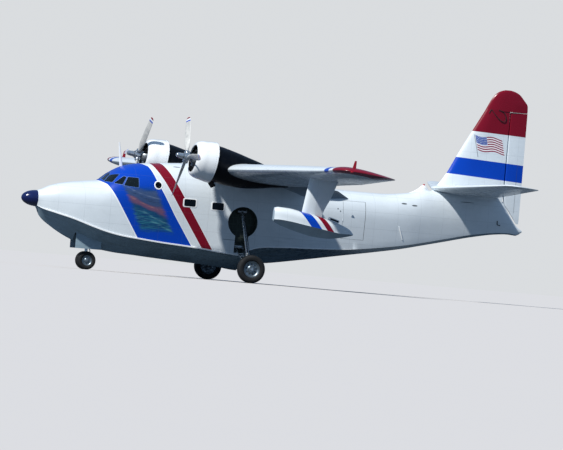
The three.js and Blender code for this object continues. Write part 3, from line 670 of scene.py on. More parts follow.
def hull_side():
    m = white_paint("hull_side_paint")
    front, rear = slant(m, BLUE_FRONT), slant(m, BLUE_REAR)
    band = crossed(m, front, rear)
    m.over(crossed(m, front, rear, 0.045, 0.03) * (1 - band), BRIGHT)
    m.over(band, BLUE)
    art_panel(m)
    front, rear = slant(m, RED_FRONT), slant(m, RED_REAR)
    red = crossed(m, front, rear)
    m.over(crossed(m, front, rear, 0.02, 0.02) * (1 - red), BRIGHT)
    m.over(red, RED)
    seams(m, [(m.x, 0.92, 0.3), (m.z, 0.61, 0.1)])
    # Painted shade of the slots
    for x, z, wide, high in SLOTS:
        m.over(oval(m.x - x, m.z - z, wide, high, 0.8, 1.15) * 0.85, 0x20262c)
    grime = (m.x - 8.4).step(0, 1.2) * (1.9 - m.z).step(0, 1.4) * m.noise(5, 5, (0.35, 1, 2.2)).step(0.4, 0.8)
    m.over(grime * 0.28, 0x6d726f)
    # Soot and painted shade: darker patches on the hull's side under the wing's root
    soot_and_shade = (m.x - 6.6).step(0, 1.5) * (m.z - 2.3).step(0, 0.9) * (10.5 - m.x).step(0, 2)
    m.over(soot_and_shade * m.noise(3, 4, (0.4, 1, 1.6)).step(0.42, 0.8) * 0.25, 0x6b6a66)
    return m.done()


# Ribbons of the art patch: low and high edge, softness, strength, broken up or not, colour
RIBBONS = [(-0.5, -0.42, 0.04, 0.8, True, 0x5f98a2), (-0.28, -0.2, 0.04, 0.6, True, 0x6d9ea6),
           (0.02, 0.26, 0.07, 0.7, False, 0x7e5168), (0.16, 0.22, 0.03, 0.7, True, 0xa67670),
           (0.26, 0.8, 0.08, 0.7, False, 0x42547a), (0.4, 0.47, 0.03, 0.7, True, 0x1f2c44),
           (0.56, 0.62, 0.03, 0.6, True, 0x8492ac)]


def art_panel(m):
    """Soft-edged patch of slanting ribbons of paint on the blue band."""
    v = m.z - 1.93
    u = m.x - 4.47 + v * 0.48
    frayed = (m.noise(7, 4, (0.5, 1, 4)) - 0.5) * 0.3
    edge = (u / 0.66).abs().most((v / 0.84).abs()) + frayed
    patch = 1 - edge.step(0.7, 1.05)
    wave = v + u * 0.3 + (u * 4.4 + v * 2.0).op("SINE") * 0.06 + (m.noise(2.6, 3, (0.4, 1, 2.4)) - 0.5) * 0.3
    fine = m.noise(11, 4, (0.3, 1, 4)).step(0.38, 0.66)
    m.over(patch * 0.9, 0x12405e)
    m.over(patch * (0.1 - wave).step(0, 0.5) * fine * 0.85, 0x2f7486)
    for low, high, soft, strength, broken, colour in RIBBONS:
        ribbon = patch * wave.between(low, high, soft)
        m.over((ribbon * fine if broken else ribbon) * strength, colour)


def hull_bottom():
    # The grey under the chine is painted shade of the underside
    m = Mat("hull_bottom_shade_paint", 0x9ab0bc, 0.3, Coat_Weight=0.2, Coat_Roughness=0.2)
    m.tint(0.35, 1.6, 0x5c7078)
    m.over(m.noise(4, 5, (0.3, 2, 2)).step(0.45, 0.8, 0, 0.35), 0x6f7a76)
    seams(m, [(m.x, 0.92, 0.3), (m.y, 0.55, 0.27)], 0.002)
    return m.rough(5, 0.1).done()


WING_TAPER_BACK = 0.081


def wing_skin():
    m = flying_paint("wing_skin_paint")
    side = m.y.abs()
    nose, middle = (side.curve([(row[0] / 1000, row[k] / 1000) for row in WING]) for k in (1, 2))
    over_chord = m.z - (middle - (m.x - nose) * WING_TAPER_BACK)
    upper = over_chord.above(-0.05, 0.006).most(1 - (m.x - nose).above(0.13))
    m.over(side.between(13.24, 13.65) * upper, BLUE)
    upper_and_tip = upper.most(over_chord.above(-0.09, 0.006))
    m.over(m.y.above(13.86) * upper_and_tip, RED)
    m.over(side.above(14.0) * upper_and_tip.most(side.above(14.55)), RED)
    flat_seams(m, (0.74, 0.15), (1.1, 0.2))
    under = 1 - over_chord.above(0, 0.01)
    # Painted shade: the underside is laid darker grey, most of all towards the root
    m.over(under * (12 - side).step(0, 3.5, 0.2, 0.6), 0x5a6c7c)
    for y, x in HINGE_COVERS:
        m.over(under * oval(side - y, m.x - x, 0.2, 0.09, 0.8, 1.1) * 0.9, 0x1c2228)
    smoke = (1 - (side - ENGINE_Y).abs().step(0.1, 0.75)) * (m.x - 8.0).step(0, 2)
    m.over(smoke * m.noise(3, 4, (0.4, 1.6, 1)).step(0.3, 0.75) * 0.45, 0x50504c)
    return m.done()


def tail_skin():
    m = flying_paint("tail_skin_paint")
    flat_seams(m, (0.7, 0.1), (0.9, 0.2))
    return m.done()


def over_line(m, x, z, slope):
    """1 above a painted edge through a point, falling aft with the slope."""
    return (m.z - z + (m.x - x) * slope).step(-PAINT_EDGE, PAINT_EDGE)


def fin_skin(name, with_tab=False):
    m = white_paint(name)
    seams(m, [(m.x, 0.62, 0.2), (m.z, 0.68, 0.3)])
    banner(m)
    m.over(over_line(m, 16.938, 5.845, 0.035), RED)
    m.over(over_line(m, 16.108, 4.219, 0.0476) * (1 - over_line(m, 16.377, 4.844, 0.0448)), BLUE)
    if with_tab:
        tab = m.z.between(2.95, 4.68, 0.005) * (m.x - 18.818).between(-0.008, 0.008, 0.002)
        head = (m.z - 4.68).between(-0.008, 0.008, 0.002) * m.x.above(18.81)
        m.over(tab.most(head) * 0.6, 0x39424a)
    return m.done()


def banner(m):
    """Plain striped banner with a dotted corner, streaming back from a short staff."""
    lean = m.x - 17.03 - (5.7 - m.z) * 0.24
    drop = (lean * 7.5 - 0.4).op("SINE") * 0.035 + lean * 0.085
    v = (m.z - 5.16 + drop) / 0.55
    cloth = lean.between(0.03, 1.07, 0.004) * v.between(0, 1, 0.006)
    m.over(lean.between(-0.012, 0.012, 0.003) * m.z.between(4.9, 5.72), 0x8b9096)
    m.over(cloth, 0xf3eff0)
    stripes = ((v * 6.5).op("FRACT") - 0.5).step(-0.03, 0.03)
    m.over(cloth * (1 - stripes), 0x8c1038)
    corner = cloth * lean.between(0.03, 0.46, 0.004) * v.between(0.46, 1, 0.006)
    m.over(corner, 0x1c489c)
    dots = ((lean * 19).op("FRACT") - 0.5).abs().most(((v * 9).op("FRACT") - 0.5).abs())
    m.over(corner * (1 - dots.step(0.2, 0.3)) * 0.8, 0xe6e9f2)


def float_skin():
    m = white_paint("float_skin_paint")
    seams(m, [(m.x, 0.6, 0.1)])
    edge = m.x + (m.z - 1.9) * FLOAT_SLANT
    for low, high, colour in FLOAT_BANDS:
        m.over(edge.between(low, high), colour)
    return m.done()


def float_bottom():
    # The grey under the float's chine is painted shade of the underside
    m = Mat("float_bottom_shade_paint", 0x9fb0ba, 0.3, Coat_Weight=0.2)
    m.tint(0.25, 3, 0x6e7c84)
    seams(m, [(m.x, 0.6, 0.1)])
    return m.done()


def black_skin():
    m = Mat("nacelle_black_paint", 0x02040a, 0.4, Specular_IOR_Level=0.2)
    side = m.y.abs() - ENGINE_Y
    m.over((1 - side.abs().step(0.05, 0.3)) * (m.z - 3.9).step(0, 0.35) * 0.8, 0x2c1714)
    m.over(m.noise(5, 5, (0.5, 1, 2)).step(0.45, 0.85, 0, 0.15), 0x141a22)
    m.over(m.x.comb(0.55, SEAM_WIDE, 0.1) * 0.3, 0x30363c)
    return m.rough(7, 0.1).done()


def cowl_skin():
    """Gloss paint with three joints along the cowl, and rivets in a hoop round it."""
    m = Mat("cowl_gloss_paint", 0xf6f8f8, 0.2, Coat_Weight=0.6, Coat_Roughness=0.06)
    m.tint(0.08, 2.5)
    height = m.z - ENGINE[2] / 1000
    around = height.op("ARCTAN2", m.y.abs() - ENGINE_Y)
    lines = around.comb(2 * pi / 3, 0.01, 0.5) * 0.6
    hoop = (m.x + height * -0.13 - 6.06).between(-0.012, 0.012, 0.003) * (around * 0.7).comb(0.07, 0.0245)
    m.over(lines.most(hoop) * 0.45, 0x6a7278)
    m.bump(1 - lines.most(hoop), 0.0012, 0.5)
    m.over(m.noise(3, 5, (0.4, 1, 1)).step(0.55, 0.9, 0, 0.3), 0xb9b3a8)
    return m.rough(9, 0.05).done()


def plain(name, colour, rough, tint, specks=None, grain=None, gloss=None, metallic=0, **sockets):
    """Clouds of a second colour over the first, and where given specks, a fine relief and patchy gloss."""
    m = Mat(name, colour, rough, metallic, **sockets)
    m.tint(*tint)
    if specks:
        scale, detail, low, high, amount, shade = specks
        m.over(m.noise(scale, detail).step(low, high, 0, amount), shade)
    if grain:
        m.bump(m.noise(grain[0]), *grain[1:])
    if gloss:
        m.rough(*gloss)
    return m.done()


def metal(name, colour, rough=0.35, amount=0.25, metallic=0.9):
    return plain(name, colour, rough, (amount, 8, 0x3c4044), None, (60, 0.0004, 0.35), (20, 0.1), metallic)


def matte(name, colour, rough=0.7, tone=0x202428):
    return plain(name, colour, rough, (0.3, 14, tone), None, (168, 0.0004, 0.4), (14, 0.08))


def lamp(name, colour):
    return plain(name, colour, 0.15, (0.2, 40, 0x300808), Coat_Weight=0.6)


PROP_HUB = (5.16548, ENGINE_Y, 3.93354)
PROP_BANDS = [(1.495, 1.545, BLUE), (1.545, 1.61, WHITE)]


def blade_paint():
    m = Mat("blade_paint", 0xc9c8c4, 0.5)
    m.tint(0.35, 6, 0x6d7478)
    dx, dy, dz = m.x - PROP_HUB[0], m.y.abs() - PROP_HUB[1], m.z - PROP_HUB[2]
    r = (dx * dx + dy * dy + dz * dz).op("SQRT")
    for low, high, colour in PROP_BANDS:
        m.over(r.between(low, high), colour)
    m.over(r.above(PROP_BANDS[-1][1]), RED)
    m.over(m.noise(18, 4).step(0.6, 0.8, 0, 0.4), 0x5a6064)
    return m.rough(20, 0.1).done()


def weave():
    m = Mat("seat_fabric", 0x2f3b45, 0.85, Sheen_Weight=0.3)
    m.tint(0.3, 20, 0x1d262e)
    thread = m.x.comb(0.004, 0.002).most(m.y.comb(0.004, 0.002))
    m.bump(thread, 0.0008, 0.5)
    return m.rough(20, 0.05).done()


def ribbed(name, colour, rough, tint, frames, stringers, shade, depth, strength):
    """Lining with ribs: tint and shade are (amount, colour), frames and stringers (spacing, width)."""
    m = Mat(name, colour, rough)
    m.tint(tint[0], 3, tint[1])
    ribs = m.x.comb(*frames).most(m.z.comb(*stringers))
    m.over(ribs * shade[0], shade[1])
    m.bump(ribs, depth, strength)
    return m.rough(9, 0.1).done()


def floor_paint():
    """Pale to the camera, and darker to the light it throws back up."""
    m = Mat("studio_floor", 0xcfcac6, 1.0, Specular_IOR_Level=0.0)
    m.tint(0.04, 0.3, 0xc6c6c4)
    seen = Val(m, m.node("LightPath").outputs["Is Camera Ray"])
    return m.over(1 - seen, 0x525a62).done()


# Section makers

INNER_RAIL = 0.04
BOTTOM_STEPS, RAIL_STRIPS, SIDE_STEPS, ARC_STEPS = 6, 3, 4, 14
SECTION_STEPS, NOSE_STEPS, RIB_COUNT = 22, 14, 40


def rail_size(x):
    """How far the spray rail stands out along the chine."""
    return float(np.interp(x, [560, 900, 8345, 8355, 11200, 12600], [0.25, 1, 1, 0.7, 0.7, INNER_RAIL]))


def hull_ring(row, wall=0.0, floor=None):
    """Cross section of the hull, or of a room inside it that is cut off level at a floor."""
    x, keel, cy, cz, sy, sz, top = row
    k = rail_size(x) if wall == 0 else INNER_RAIL
    half = [(t * cy, keel + (1.3 * t - 0.3 * t * t) * (cz - keel))
            for t in np.arange(BOTTOM_STEPS) / BOTTOM_STEPS]
    half += [(cy, cz - 8 * k), (cy + 25 * k, cz - 14 * k), (cy + 28 * k, cz + 30 * k),
             (cy + 1.5, cz + 38 * k + 1)]
    for t in np.arange(1, SIDE_STEPS) / SIDE_STEPS:
        half.append((cy + (sy - cy) * t + 8 * sin(pi * t), cz + 40 * k + (sz - cz - 40 * k) * t))
    half.append((sy, sz))
    for a in np.arange(1, ARC_STEPS) / ARC_STEPS * pi / 2:
        half.append((sy * cos(a) ** 0.86, sz + (top - sz) * sin(a) ** 0.86))
    half.append((0, top))
    ring = np.array(half + [(-y, z) for y, z in half[1:-1][::-1]], float)
    way = np.roll(ring, -1, 0) - np.roll(ring, 1, 0)
    way /= np.linalg.norm(way, axis=1)[:, None]
    ring += wall * np.column_stack([-way[:, 1], way[:, 0]])
    if floor is not None:
        ring[:, 1] = np.maximum(ring[:, 1], floor)
    return np.column_stack([np.full(len(ring), x), ring])


HALF_STRIPS = [1] * BOTTOM_STEPS + [2] * RAIL_STRIPS + [0] * (SIDE_STEPS + ARC_STEPS)
RING_PAINT = HALF_STRIPS + HALF_STRIPS[::-1]


def hull_rings(front, back, wall=0.0, floor=None, step=110):
    return [hull_ring(row, wall, floor) for row in rows_of(HULL, step, front, back)]


def hull_shell(front, back, outer, inner):
    """Closed sheet between two depths under the hull's skin."""
    a, b = (hull_rings(front, back, wall) for wall in (outer, inner))
    pa, fa, _ = loft(a, caps=False)
    pb, fb, _ = loft(b, caps=False)
    n, total = len(a[0]), len(pa)
    faces = fa + [[i + total for i in f[::-1]] for f in fb]
    for start, way in ((0, 1), (total - n, -1)):
        for i in range(n):
            j = (i + 1) % n
            faces.append([start + i, start + i + total, start + j + total, start + j][::way])
    return Shape().add(np.concatenate([pa, pb]), faces)


def skin_y(x, z):
    """Half breadth of the hull at a point of its side."""
    ring = hull_ring(smooth_rows(HULL, [x])[0])
    half = ring[BOTTOM_STEPS + RAIL_STRIPS:len(ring) // 2 + 1]
    return float(np.interp(z, half[:, 2], half[:, 1]))


def cosine_steps(count):
    """From 0 to 1, closer together at both ends."""
    return (1 - np.cos(np.arange(count + 1) / count * pi)) / 2


def section_half(u):
    """Half thickness of the wing's section along its chord, for a thickness ratio of 1."""
    return 5 * (0.2969 * np.sqrt(u) - 0.126 * u - 0.3516 * u**2 + 0.2843 * u**3 - 0.1015 * u**4)


def section_camber(u):
    return CAMBER * (1 - ((u - 0.25) / np.where(u < 0.25, 0.25, 0.75)) ** 2)


def wing_ring(row):
    y, le_x, le_z, chord, thick, incidence = row
    u = cosine_steps(SECTION_STEPS)
    half = thick * section_half(u) + 0.0015 * u
    half[-1] = max(half[-1], 0.001)
    camber = section_camber(u)
    u = np.concatenate([u, u[:0:-1]])
    v = np.concatenate([camber + half, (camber - half)[:0:-1]])
    c, s = cos(radians(incidence)), sin(radians(incidence))
    x, z = le_x + chord * (u * c + v * s), le_z + chord * (v * c - u * s)
    return np.column_stack([x, np.full(len(u), y), z])


def lined(table, at):
    """Straight-line interpolation of a table's row."""
    table = np.asarray(table, float)
    return np.array([at] + [np.interp(at, table[:, 0], table[:, k]) for k in range(1, table.shape[1])])


def chord_point(table, y, u, v=0.0):
    """Point of a wing or tailplane, u along its chord and v above it."""
    _, le_x, le_z, chord, _, incidence = lined(table, y)
    c, s = cos(radians(incidence)), sin(radians(incidence))
    return np.array([le_x + chord * (u * c + v * s), y, le_z + chord * (v * c - u * s)])


def nose_at(table, y, u):
    """Hinge point, nose radius and tail point of a movable surface."""
    _, _, _, chord, thick, _ = lined(table, y)
    radius = chord * thick * section_half(u)
    return chord_point(table, y, u, section_camber(u)), radius, chord_point(table, y, 1)


def surface_ring(table, y, u):
    """Section of a movable surface: a round nose about the hinge, and straight sides to the trailing edge."""
    hinge, radius, tail = nose_at(table, y, u)
    slope = atan2(hinge[2] - tail[2], tail[0] - hinge[0])
    ring = []
    for t in np.arange(NOSE_STEPS + 1) / NOSE_STEPS:
        a = pi / 2 + t * pi + (0.5 - t) * 0.2 - slope
        ring.append((hinge[0] + radius * cos(a), y, hinge[2] + radius * sin(a)))
    under, over = np.array(ring[-1]), np.array(ring[0])
    low, high = (np.array([tail[0], y, tail[2] + half]) for half in (-5, 5))
    ring += [under + (low - under) * t for t in (0.25, 0.5, 0.75, 1)]
    ring += [high + (over - high) * t for t in (0, 0.25, 0.5, 0.75)]
    return np.array(ring)


COVE_ARC = radians(156)
NOSE_GAP, END_GAP = 10, 25


def cove_ring(table, y, u):
    """Room for a movable surface: round its nose, and everything behind."""
    hinge, radius, _ = nose_at(table, y, u)
    radius += NOSE_GAP
    ring = [(hinge[0] + radius * cos(a), y, hinge[2] + radius * sin(a))
            for a in pi / 2 + np.arange(NOSE_STEPS + 1) / NOSE_STEPS * COVE_ARC]
    low, high, back = ring[-1][0], ring[0][0], ring[-1][0] + 3000
    corners = ((low, -900), (back, -900), (back, 900), (high, 900))
    return np.array(ring + [(x, y, hinge[2] + z) for x, z in corners])


def cove(table, ends, u):
    a, b = (cove_ring(table, y, u) for y in ends)
    t = END_GAP / (ends[1] - ends[0])
    return solid(loft([a - t * (b - a), b + t * (b - a)]))


def pin(root, tip):
    """Hinge pin, steel, tapering to its end."""
    return tube([root, tip], [22, 4], 12, 1)


def movable(table, ends, u):
    """Straight from rib to rib, with its hinge pins."""
    a, b = (surface_ring(table, y, u) for y in ends)
    pa, pb = (nose_at(table, y, u)[0] for y in ends)
    way = (pb - pa) / np.linalg.norm(pb - pa)
    return solid(loft([a + (b - a) * t for t in np.linspace(0, 1, RIB_COUNT)]),
                 pin(pa + way * 30, pa - way * 24.4), pin(pb - way * 30, pb + way * 24.4))


FIN_SECTION = ((0, 0.04, 0.14, 0.32, 0.6, 1), (0, 0.45, 0.8, 1, 0.86, 0.62))
FIN_CAP_SECTION = (FIN_SECTION[0], (*FIN_SECTION[1][:-1], 0.08))
PYLON_SECTION = ((0, 0.06, 0.22, 0.42, 0.75, 1), (0, 0.55, 0.95, 1, 0.55, 0.06))


def level_ring(row, section, steps, y=0):
    """Level slice of a fin or pylon: section gives its half breadth along the chord."""
    z, le, te, half = row
    u = cosine_steps(steps)
    shape = half * pchip(section[0], np.array(section[1])[:, None], u)[:, 0]
    x = le + u * (te - le)
    near, far = (np.column_stack([x, y + sign * shape, np.full(len(u), z)]) for sign in (1, -1))
    return np.concatenate([near, far[:0:-1]])


def level_loft(table, step, section, steps=20, y=0):
    return loft([level_ring(row, section, steps, y) for row in rows_of(table, step)])


FLOAT_BOTTOM = ((0, 0), (0.25, 0.3), (0.5, 0.58), (0.75, 0.82))
FLOAT_SIDE = ((0, 0.45, 0.82, 0.96, 1), (1, 0.97, 0.72, 0.36, 0))


def float_ring(row):
    x, keel, cy, cz, deck = row
    half = [(cy * a, keel + b * (cz - keel)) for a, b in FLOAT_BOTTOM] + [(cy, cz - 3), (cy + 8, cz + 4)]
    t = 1 - (1 - np.linspace(0, 1, 11)[1:]) ** 1.6
    breadths = cy * pchip(FLOAT_SIDE[0], np.array(FLOAT_SIDE[1])[:, None], t)[:, 0]
    half += [(y, cz + 6 + (deck - cz - 6) * rise) for rise, y in zip(t, breadths)]
    half[-1] = (0, deck)
    ring = half + [(-y, z) for y, z in half[1:-1][::-1]]
    return np.array([(x, PYLON_Y + y, z) for y, z in ring])


def plug(corners, reach):
    """Cutter through a loop of points, square to it."""
    p = np.array(corners, float)
    n = len(p) // 4
    normal = np.cross(p[2 * n] - p[0], p[3 * n] - p[n])
    normal /= np.linalg.norm(normal)
    return loft([p - reach * normal, p + reach * normal])


def swollen(points, by):
    """Outline or loop grown outwards about its middle."""
    p = np.array(points, float)
    middle = p.mean(0)
    way = p - middle
    return [tuple(v) for v in middle + way * (1 + by / np.linalg.norm(way, axis=1)[:, None])]


# Paints in use

side_paint, bottom_shade_paint = hull_side(), hull_bottom()
trim_paint = white_paint("rail_white_paint", BRIGHT, stain=0.04).done()
wing_paint, tail_paint = wing_skin(), tail_skin()
fin_paint, rudder_paint = fin_skin("fin_paint"), fin_skin("rudder_paint", with_tab=True)
steel = metal("leg_steel", 0xaab0b4, 0.3)
chrome = metal("oleo_chrome", 0xd8dcde, 0.12, 0.08)
alloy = metal("wheel_alloy", 0x93a0a8, 0.38)
dark_metal = metal("dark_metal", 0x2a2d31, 0.5, metallic=0.6)
grey_metal = metal("engine_grey", 0x9aa0a2, 0.42, 0.4, 0.7)
tyre_paint = plain("tyre_rubber_black", 0x0c0d10, 0.78, (0.4, 9, 0x1e1f22), (40, 3, 0.6, 0.8, 0.3, 0x2b2a28),
                   (150, 0.0006, 0.4), (25, 0.08))
black_rubber = matte("black_rubber", 0x101114)
lining = ribbed("cabin_lining", 0x8c948f, 0.7, (0.3, 0x6a726e), (0.5, 0.03), (0.45, 0.02), (0.4, 0x5d6562),
                0.004, 0.5)
bay_paint = ribbed("bay_lining", 0x39453f, 0.6, (0.4, 0x222b28), (0.16, 0.02), (0.24, 0.02), (0.6, 0x56635b),
                   0.006, 0.6)
pane_paint = plain("cockpit_glass", 0x24323a, 0.04, (0.15, 3, 0x4a5a62), IOR=1.45, Transmission_Weight=0.75)
window_paint = plain("cabin_glass", 0x04080e, 0.1, (0.4, 3, 0x0c141c), Specular_IOR_Level=0.2)
frame_paint = matte("window_frame_paint", 0x5f86cc, 0.45, 0x3a62b0)
trim_matte, seat_paint = matte("cockpit_trim", 0x3a4046), weave()
red_lamp, green_lamp = lamp("red_lamp", 0xb0141c), lamp("green_lamp", 0x14a050)
hull_paints = [side_paint, bottom_shade_paint, trim_paint, lining, bay_paint]
INSIDE, BAY = 3, 4

# Windows on the port side
SIDE_WINDOW = rounded([(3510, 2732), (3672, 3055), (4060, 3048), (4052, 2692)], 40)
QUARTER_WINDOW = rounded([(3165, 2785), (3530, 3068), (3630, 3050), (3462, 2755)], 40)
CORNER_PANE = rounded([(2880, -560, 2830), (3120, -400, 3085), (3450, -640, 3060), (3150, -810, 2750)], 40)
FRONT_PANE = rounded([(2890, -40, 2925), (3250, -40, 3200), (3130, -340, 3110), (2885, -500, 2880)], 45)
CABIN_WINDOWS = [(6010, 2300, 440, 260), (7080, 2260, 440, 260)]
PORTHOLE = (4785, 2847, 120)
WINDOW_CORNER = 55
PORT_SIDE = (-1400, -500)


def oblong(cx, cz, wide, high):
    corners = ((-1, -1), (1, -1), (1, 1), (-1, 1))
    return rounded([(cx + i * wide / 2, cz + j * high / 2) for i, j in corners], WINDOW_CORNER)


def disc(cx, cz, radius):
    return [(cx + radius * cos(a), cz + radius * sin(a)) for a in circle(32)]


def cockpit_tools(grow=0):
    """Cutters for the port cockpit windows, and grown ones for their frames."""
    outlines = (SIDE_WINDOW, QUARTER_WINDOW, CORNER_PANE, FRONT_PANE)
    outlines = [swollen(p, grow) if grow else p for p in outlines]
    return [solid(slab(outlines[0], *PORT_SIDE)), solid(slab(outlines[1], *PORT_SIDE)),
            solid(plug(outlines[2], 170)), solid(plug(outlines[3], 150))]


def with_mirror(shape):
    return [shape, shape.moved(MIRROR)]


def room(size):
    return solid(loft(hull_rings(size["front"], size["back"], WALL, size["floor"]), paint=INSIDE))


# Hull and what is cut out of it
well_x, well_z, well_radius = WELL
well = solid(lathe([(800, well_radius), (1600, well_radius)], "Y", 64, (well_x, 0, well_z), BAY))
leg_slot = solid(box(well_x - 250, well_x + 250, 850, 1500, 640, well_z, BAY))
nose_bay = solid(box(2050, 3080, -330, 330, -100, 1150, BAY))
doorway = solid(box(*DOOR[:2], *PORT_SIDE, *DOOR[2:], INSIDE))

hull = mesh_object("hull_skin", solid(loft(hull_rings(560, 19200, step=90), paint=RING_PAINT)), hull_paints)
tools = [room(COCKPIT), room(CABIN), *with_mirror(well), *with_mirror(leg_slot), nose_bay, doorway]
for tool in cockpit_tools():
    tools += with_mirror(tool)
for x, z, wide, high in CABIN_WINDOWS:
    y = -skin_y(x, z)
    tools += with_mirror(solid(slab(oblong(x, z, wide, high), y - 100, y + 42, paint=2)))
y = skin_y(*PORTHOLE[:2])
tools += [solid(slab(disc(*PORTHOLE), side * y - 60, side * y + 60, paint=2)) for side in (-1, 1)]
piece("hull_skin", carve(hull, tools), "hull")

# Cockpit panes and their frames
pane_shell = hull_shell(2800, 4280, 10, 17)
frame_shell = hull_shell(2800, 4280, -5, 12)
for name, tool, wider in zip(("side", "quarter", "corner", "front"), cockpit_tools(), cockpit_tools(13)):
    rim = carve(mesh_object("rim", frame_shell, [frame_paint]), [wider], True)
    rim = carve(rim, [tool])
    pane = carve(mesh_object("pane", pane_shell, [pane_paint]), [tool], True)
    for obj, label, paint_slot in ((rim, "window_frame", "hull_paint"), (pane, "window_pane", "clear_glass")):
        twin = linked("twin", obj.data.copy())
        twin.data.transform(MIRROR)
        twin.data.flip_normals()
        stands_for = "cockpit_glazing" if (label, name) == ("window_pane", "side") else None
        piece(f"{label}_{name}_port", obj, stands_for)
        piece(f"{label}_{name}_starboard", twin)


# Cabin windows, porthole and door

def on_side(outline, depth):
    """Points on the port side of the hull, at a depth under its skin."""
    return [(x, depth - skin_y(x, z), z) for x, z in outline]


def glazed(name, outline, width):
    """Frame laid on the skin and recessed pane at an outline in X and Z, on both sides of the hull."""
    rim, lip = swollen(outline, width), swollen(outline, width * 0.6)
    rings = [on_side(*ring) for ring in ((rim, 10), (rim, -7), (lip, -11), (outline, -9), (outline, 40))]
    points, faces, _ = loft(rings, caps=False)
    n, last = len(outline), (len(rings) - 1) * len(outline)
    faces += [[last + i, last + (i + 1) % n, (i + 1) % n, i] for i in range(n)]
    frame_shape = Shape().add(points, faces)
    pane = solid(loft([on_side(swollen(outline, 4), depth) for depth in (12, 20)]))
    build_pair(f"{name}_frame", frame_shape.moved(MIRROR), [trim_paint])
    build_pair(f"{name}_pane", pane.moved(MIRROR), [window_paint])


for i, (x, z, wide, high) in enumerate(CABIN_WINDOWS):
    glazed(f"cabin_window_{i + 1}", oblong(x, z, wide, high), 50)
glazed("porthole", disc(*PORTHOLE), 40)

# The door keeps clear of the doorway by these gaps
HINGE_SIDE_GAP, LATCH_SIDE_GAP, SILL_GAP = 10, 16, 8
front, back, sill, head = DOOR
hinge_x = front + HINGE_SIDE_GAP
door_block = box(hinge_x, back - LATCH_SIDE_GAP, *PORT_SIDE, sill + SILL_GAP, head - SILL_GAP, INSIDE)
door = mesh_object("door", hull_shell(front - 100, back + 100, 0, 55), hull_paints[:4])
door = carve(door, [solid(door_block)], True)
knuckle = mesh_object("knuckle", solid(tube([(hinge_x, -1098, 2120), (hinge_x, -1098, 2380)], 9.4, 16)),
                      [side_paint])
x, z = 12280, 2320
y = -skin_y(x, z)
handle = solid(lathe([(y - 6, 52), (y - 2, 50), (y + 6, 44)], "Y", 28, (x, 0, z), 1),
               box(x - 55, x + 55, y - 26, y - 12, z - 12, z + 12, 1, 6),
               tube([(x, y + 2, z), (x, y - 20, z)], 9, 12, 1))


def fuse(name, objs):
    """Joins several finished objects into one."""
    for obj in bpy.context.selected_objects:
        obj.select_set(False)
    for obj in objs:
        obj.select_set(True)
    bpy.context.view_layer.objects.active = objs[0]
    bpy.ops.object.join()
    objs[0].name = name
    return objs[0]


door = fuse("door_skin", [door, knuckle, mesh_object("handle", handle, [side_paint, chrome])])
piece("door_skin", door, "cabin_door", "cabin_door")

# Radome
NOSE_LONG, NOSE_RADIUS, NOSE_AXIS_Z = 560, 297, 2005
profile = [(NOSE_LONG * t, NOSE_RADIUS * sqrt(max(0.0, 1 - (1 - t) ** 2.1)) * (0.96 + 0.04 * t))
           for t in (np.arange(25) / 24) ** 2]
profile = [(0.0, 2.0)] + profile[1:-1] + [(NOSE_LONG - 0.3, NOSE_RADIUS)]
radome_paint = plain("radome_gloss_paint", 0x101c52, 0.16, (0.35, 6, 0x0a1030),
                     (30, 2, 0.62, 0.7, 0.25, 0x2c3c70), None, (12, 0.05), Coat_Weight=0.7,
                     Coat_Roughness=0.05)
radome = solid(lathe(profile, "X", 64, (0, 0, NOSE_AXIS_Z)))
build("radome_skin", radome, [radome_paint], "radome")

# Wing, tail and their moving surfaces


def wing_half(table, low, high, step):
    return [wing_ring(r) for r in rows_of(table, step, low, high)]


def both(rings):
    """Rings of one half and their mirror images, tip to tip."""
    return [r * (1, -1, 1) for r in rings[:0:-1]] + rings


flap_cove, aileron_cove = cove(WING, FLAP, FLAP_AT), cove(WING, AILERON, AILERON_AT)
elevator_cove = cove(TAILPLANE, ELEVATOR, ELEVATOR_AT)
centre = mesh_object("centre", solid(loft(both(wing_half(WING, 0, SPLIT_Y, 300)))), [wing_paint])
piece("wing_centre_skin", carve(centre, with_mirror(flap_cove)), "wing_centre")
outer_rings = wing_half(WING, SPLIT_Y, TIP_Y, 240)
outer_rings[0] = outer_rings[0] + (0, 0.3, 0)
tail = mesh_object("tail", solid(loft(both(wing_half(TAILPLANE, 0, TAIL_TIP_Y, 200)))), [tail_paint])
piece("tailplane_skin", carve(tail, with_mirror(elevator_cove)), "tailplane")
for side, _, flip in SIDES:
    skin = mesh_object("outer", solid(loft(outer_rings)).moved(flip), [wing_paint])
    carve(skin, [flap_cove.moved(flip), aileron_cove.moved(flip)])
    piece(f"wing_skin_{side}", skin, f"wing_{side}")
for name, table, ends, at_chord, paint in (
        ("flap", WING, FLAP, FLAP_AT, wing_paint), ("aileron", WING, AILERON, AILERON_AT, wing_paint),
        ("elevator", TAILPLANE, ELEVATOR, ELEVATOR_AT, tail_paint)):
    build_pair(f"{name}_skin", movable(table, ends, at_chord), [paint, steel], name, name)

fin = solid(level_loft(FIN, 200, FIN_SECTION), level_loft(FIN_CAP, 30, FIN_CAP_SECTION))
build("fin_skin", fin, [fin_paint], "fin")


def rudder_ring(row):
    """Level slice of the rudder: a round nose, and flat sides to a blunt trailing edge."""
    z, front, back, half = row
    turns = np.linspace(0, pi / 2, 10)
    side = [(front + half * 1.1 * (1 - sin(a)), half * cos(a)) for a in turns]
    ring = [(back, 6)] + side + [(x, -y) for x, y in side[-2::-1]] + [(back, -6)]
    return np.array([(x, y, z) for x, y in ring])


rudder = solid(loft([rudder_ring(row) for row in rows_of(RUDDER, 200)]),
               pin((18437, 0, 6620), (18437, 0, 6659.4)))
build("rudder_seal", solid(box(18475, 19030, -14, 14, 6648, 6665, 0, 3)), [black_rubber])
build("rudder_skin", rudder, [rudder_paint, steel], "rudder", "rudder")


# Fairing that carries the wing root back along the hull
FAIRING_FRONT, FAIRING_TOP_X, FAIRING_REAR = 9300, 10350, 12120
FAIRING_BREADTH = 1440


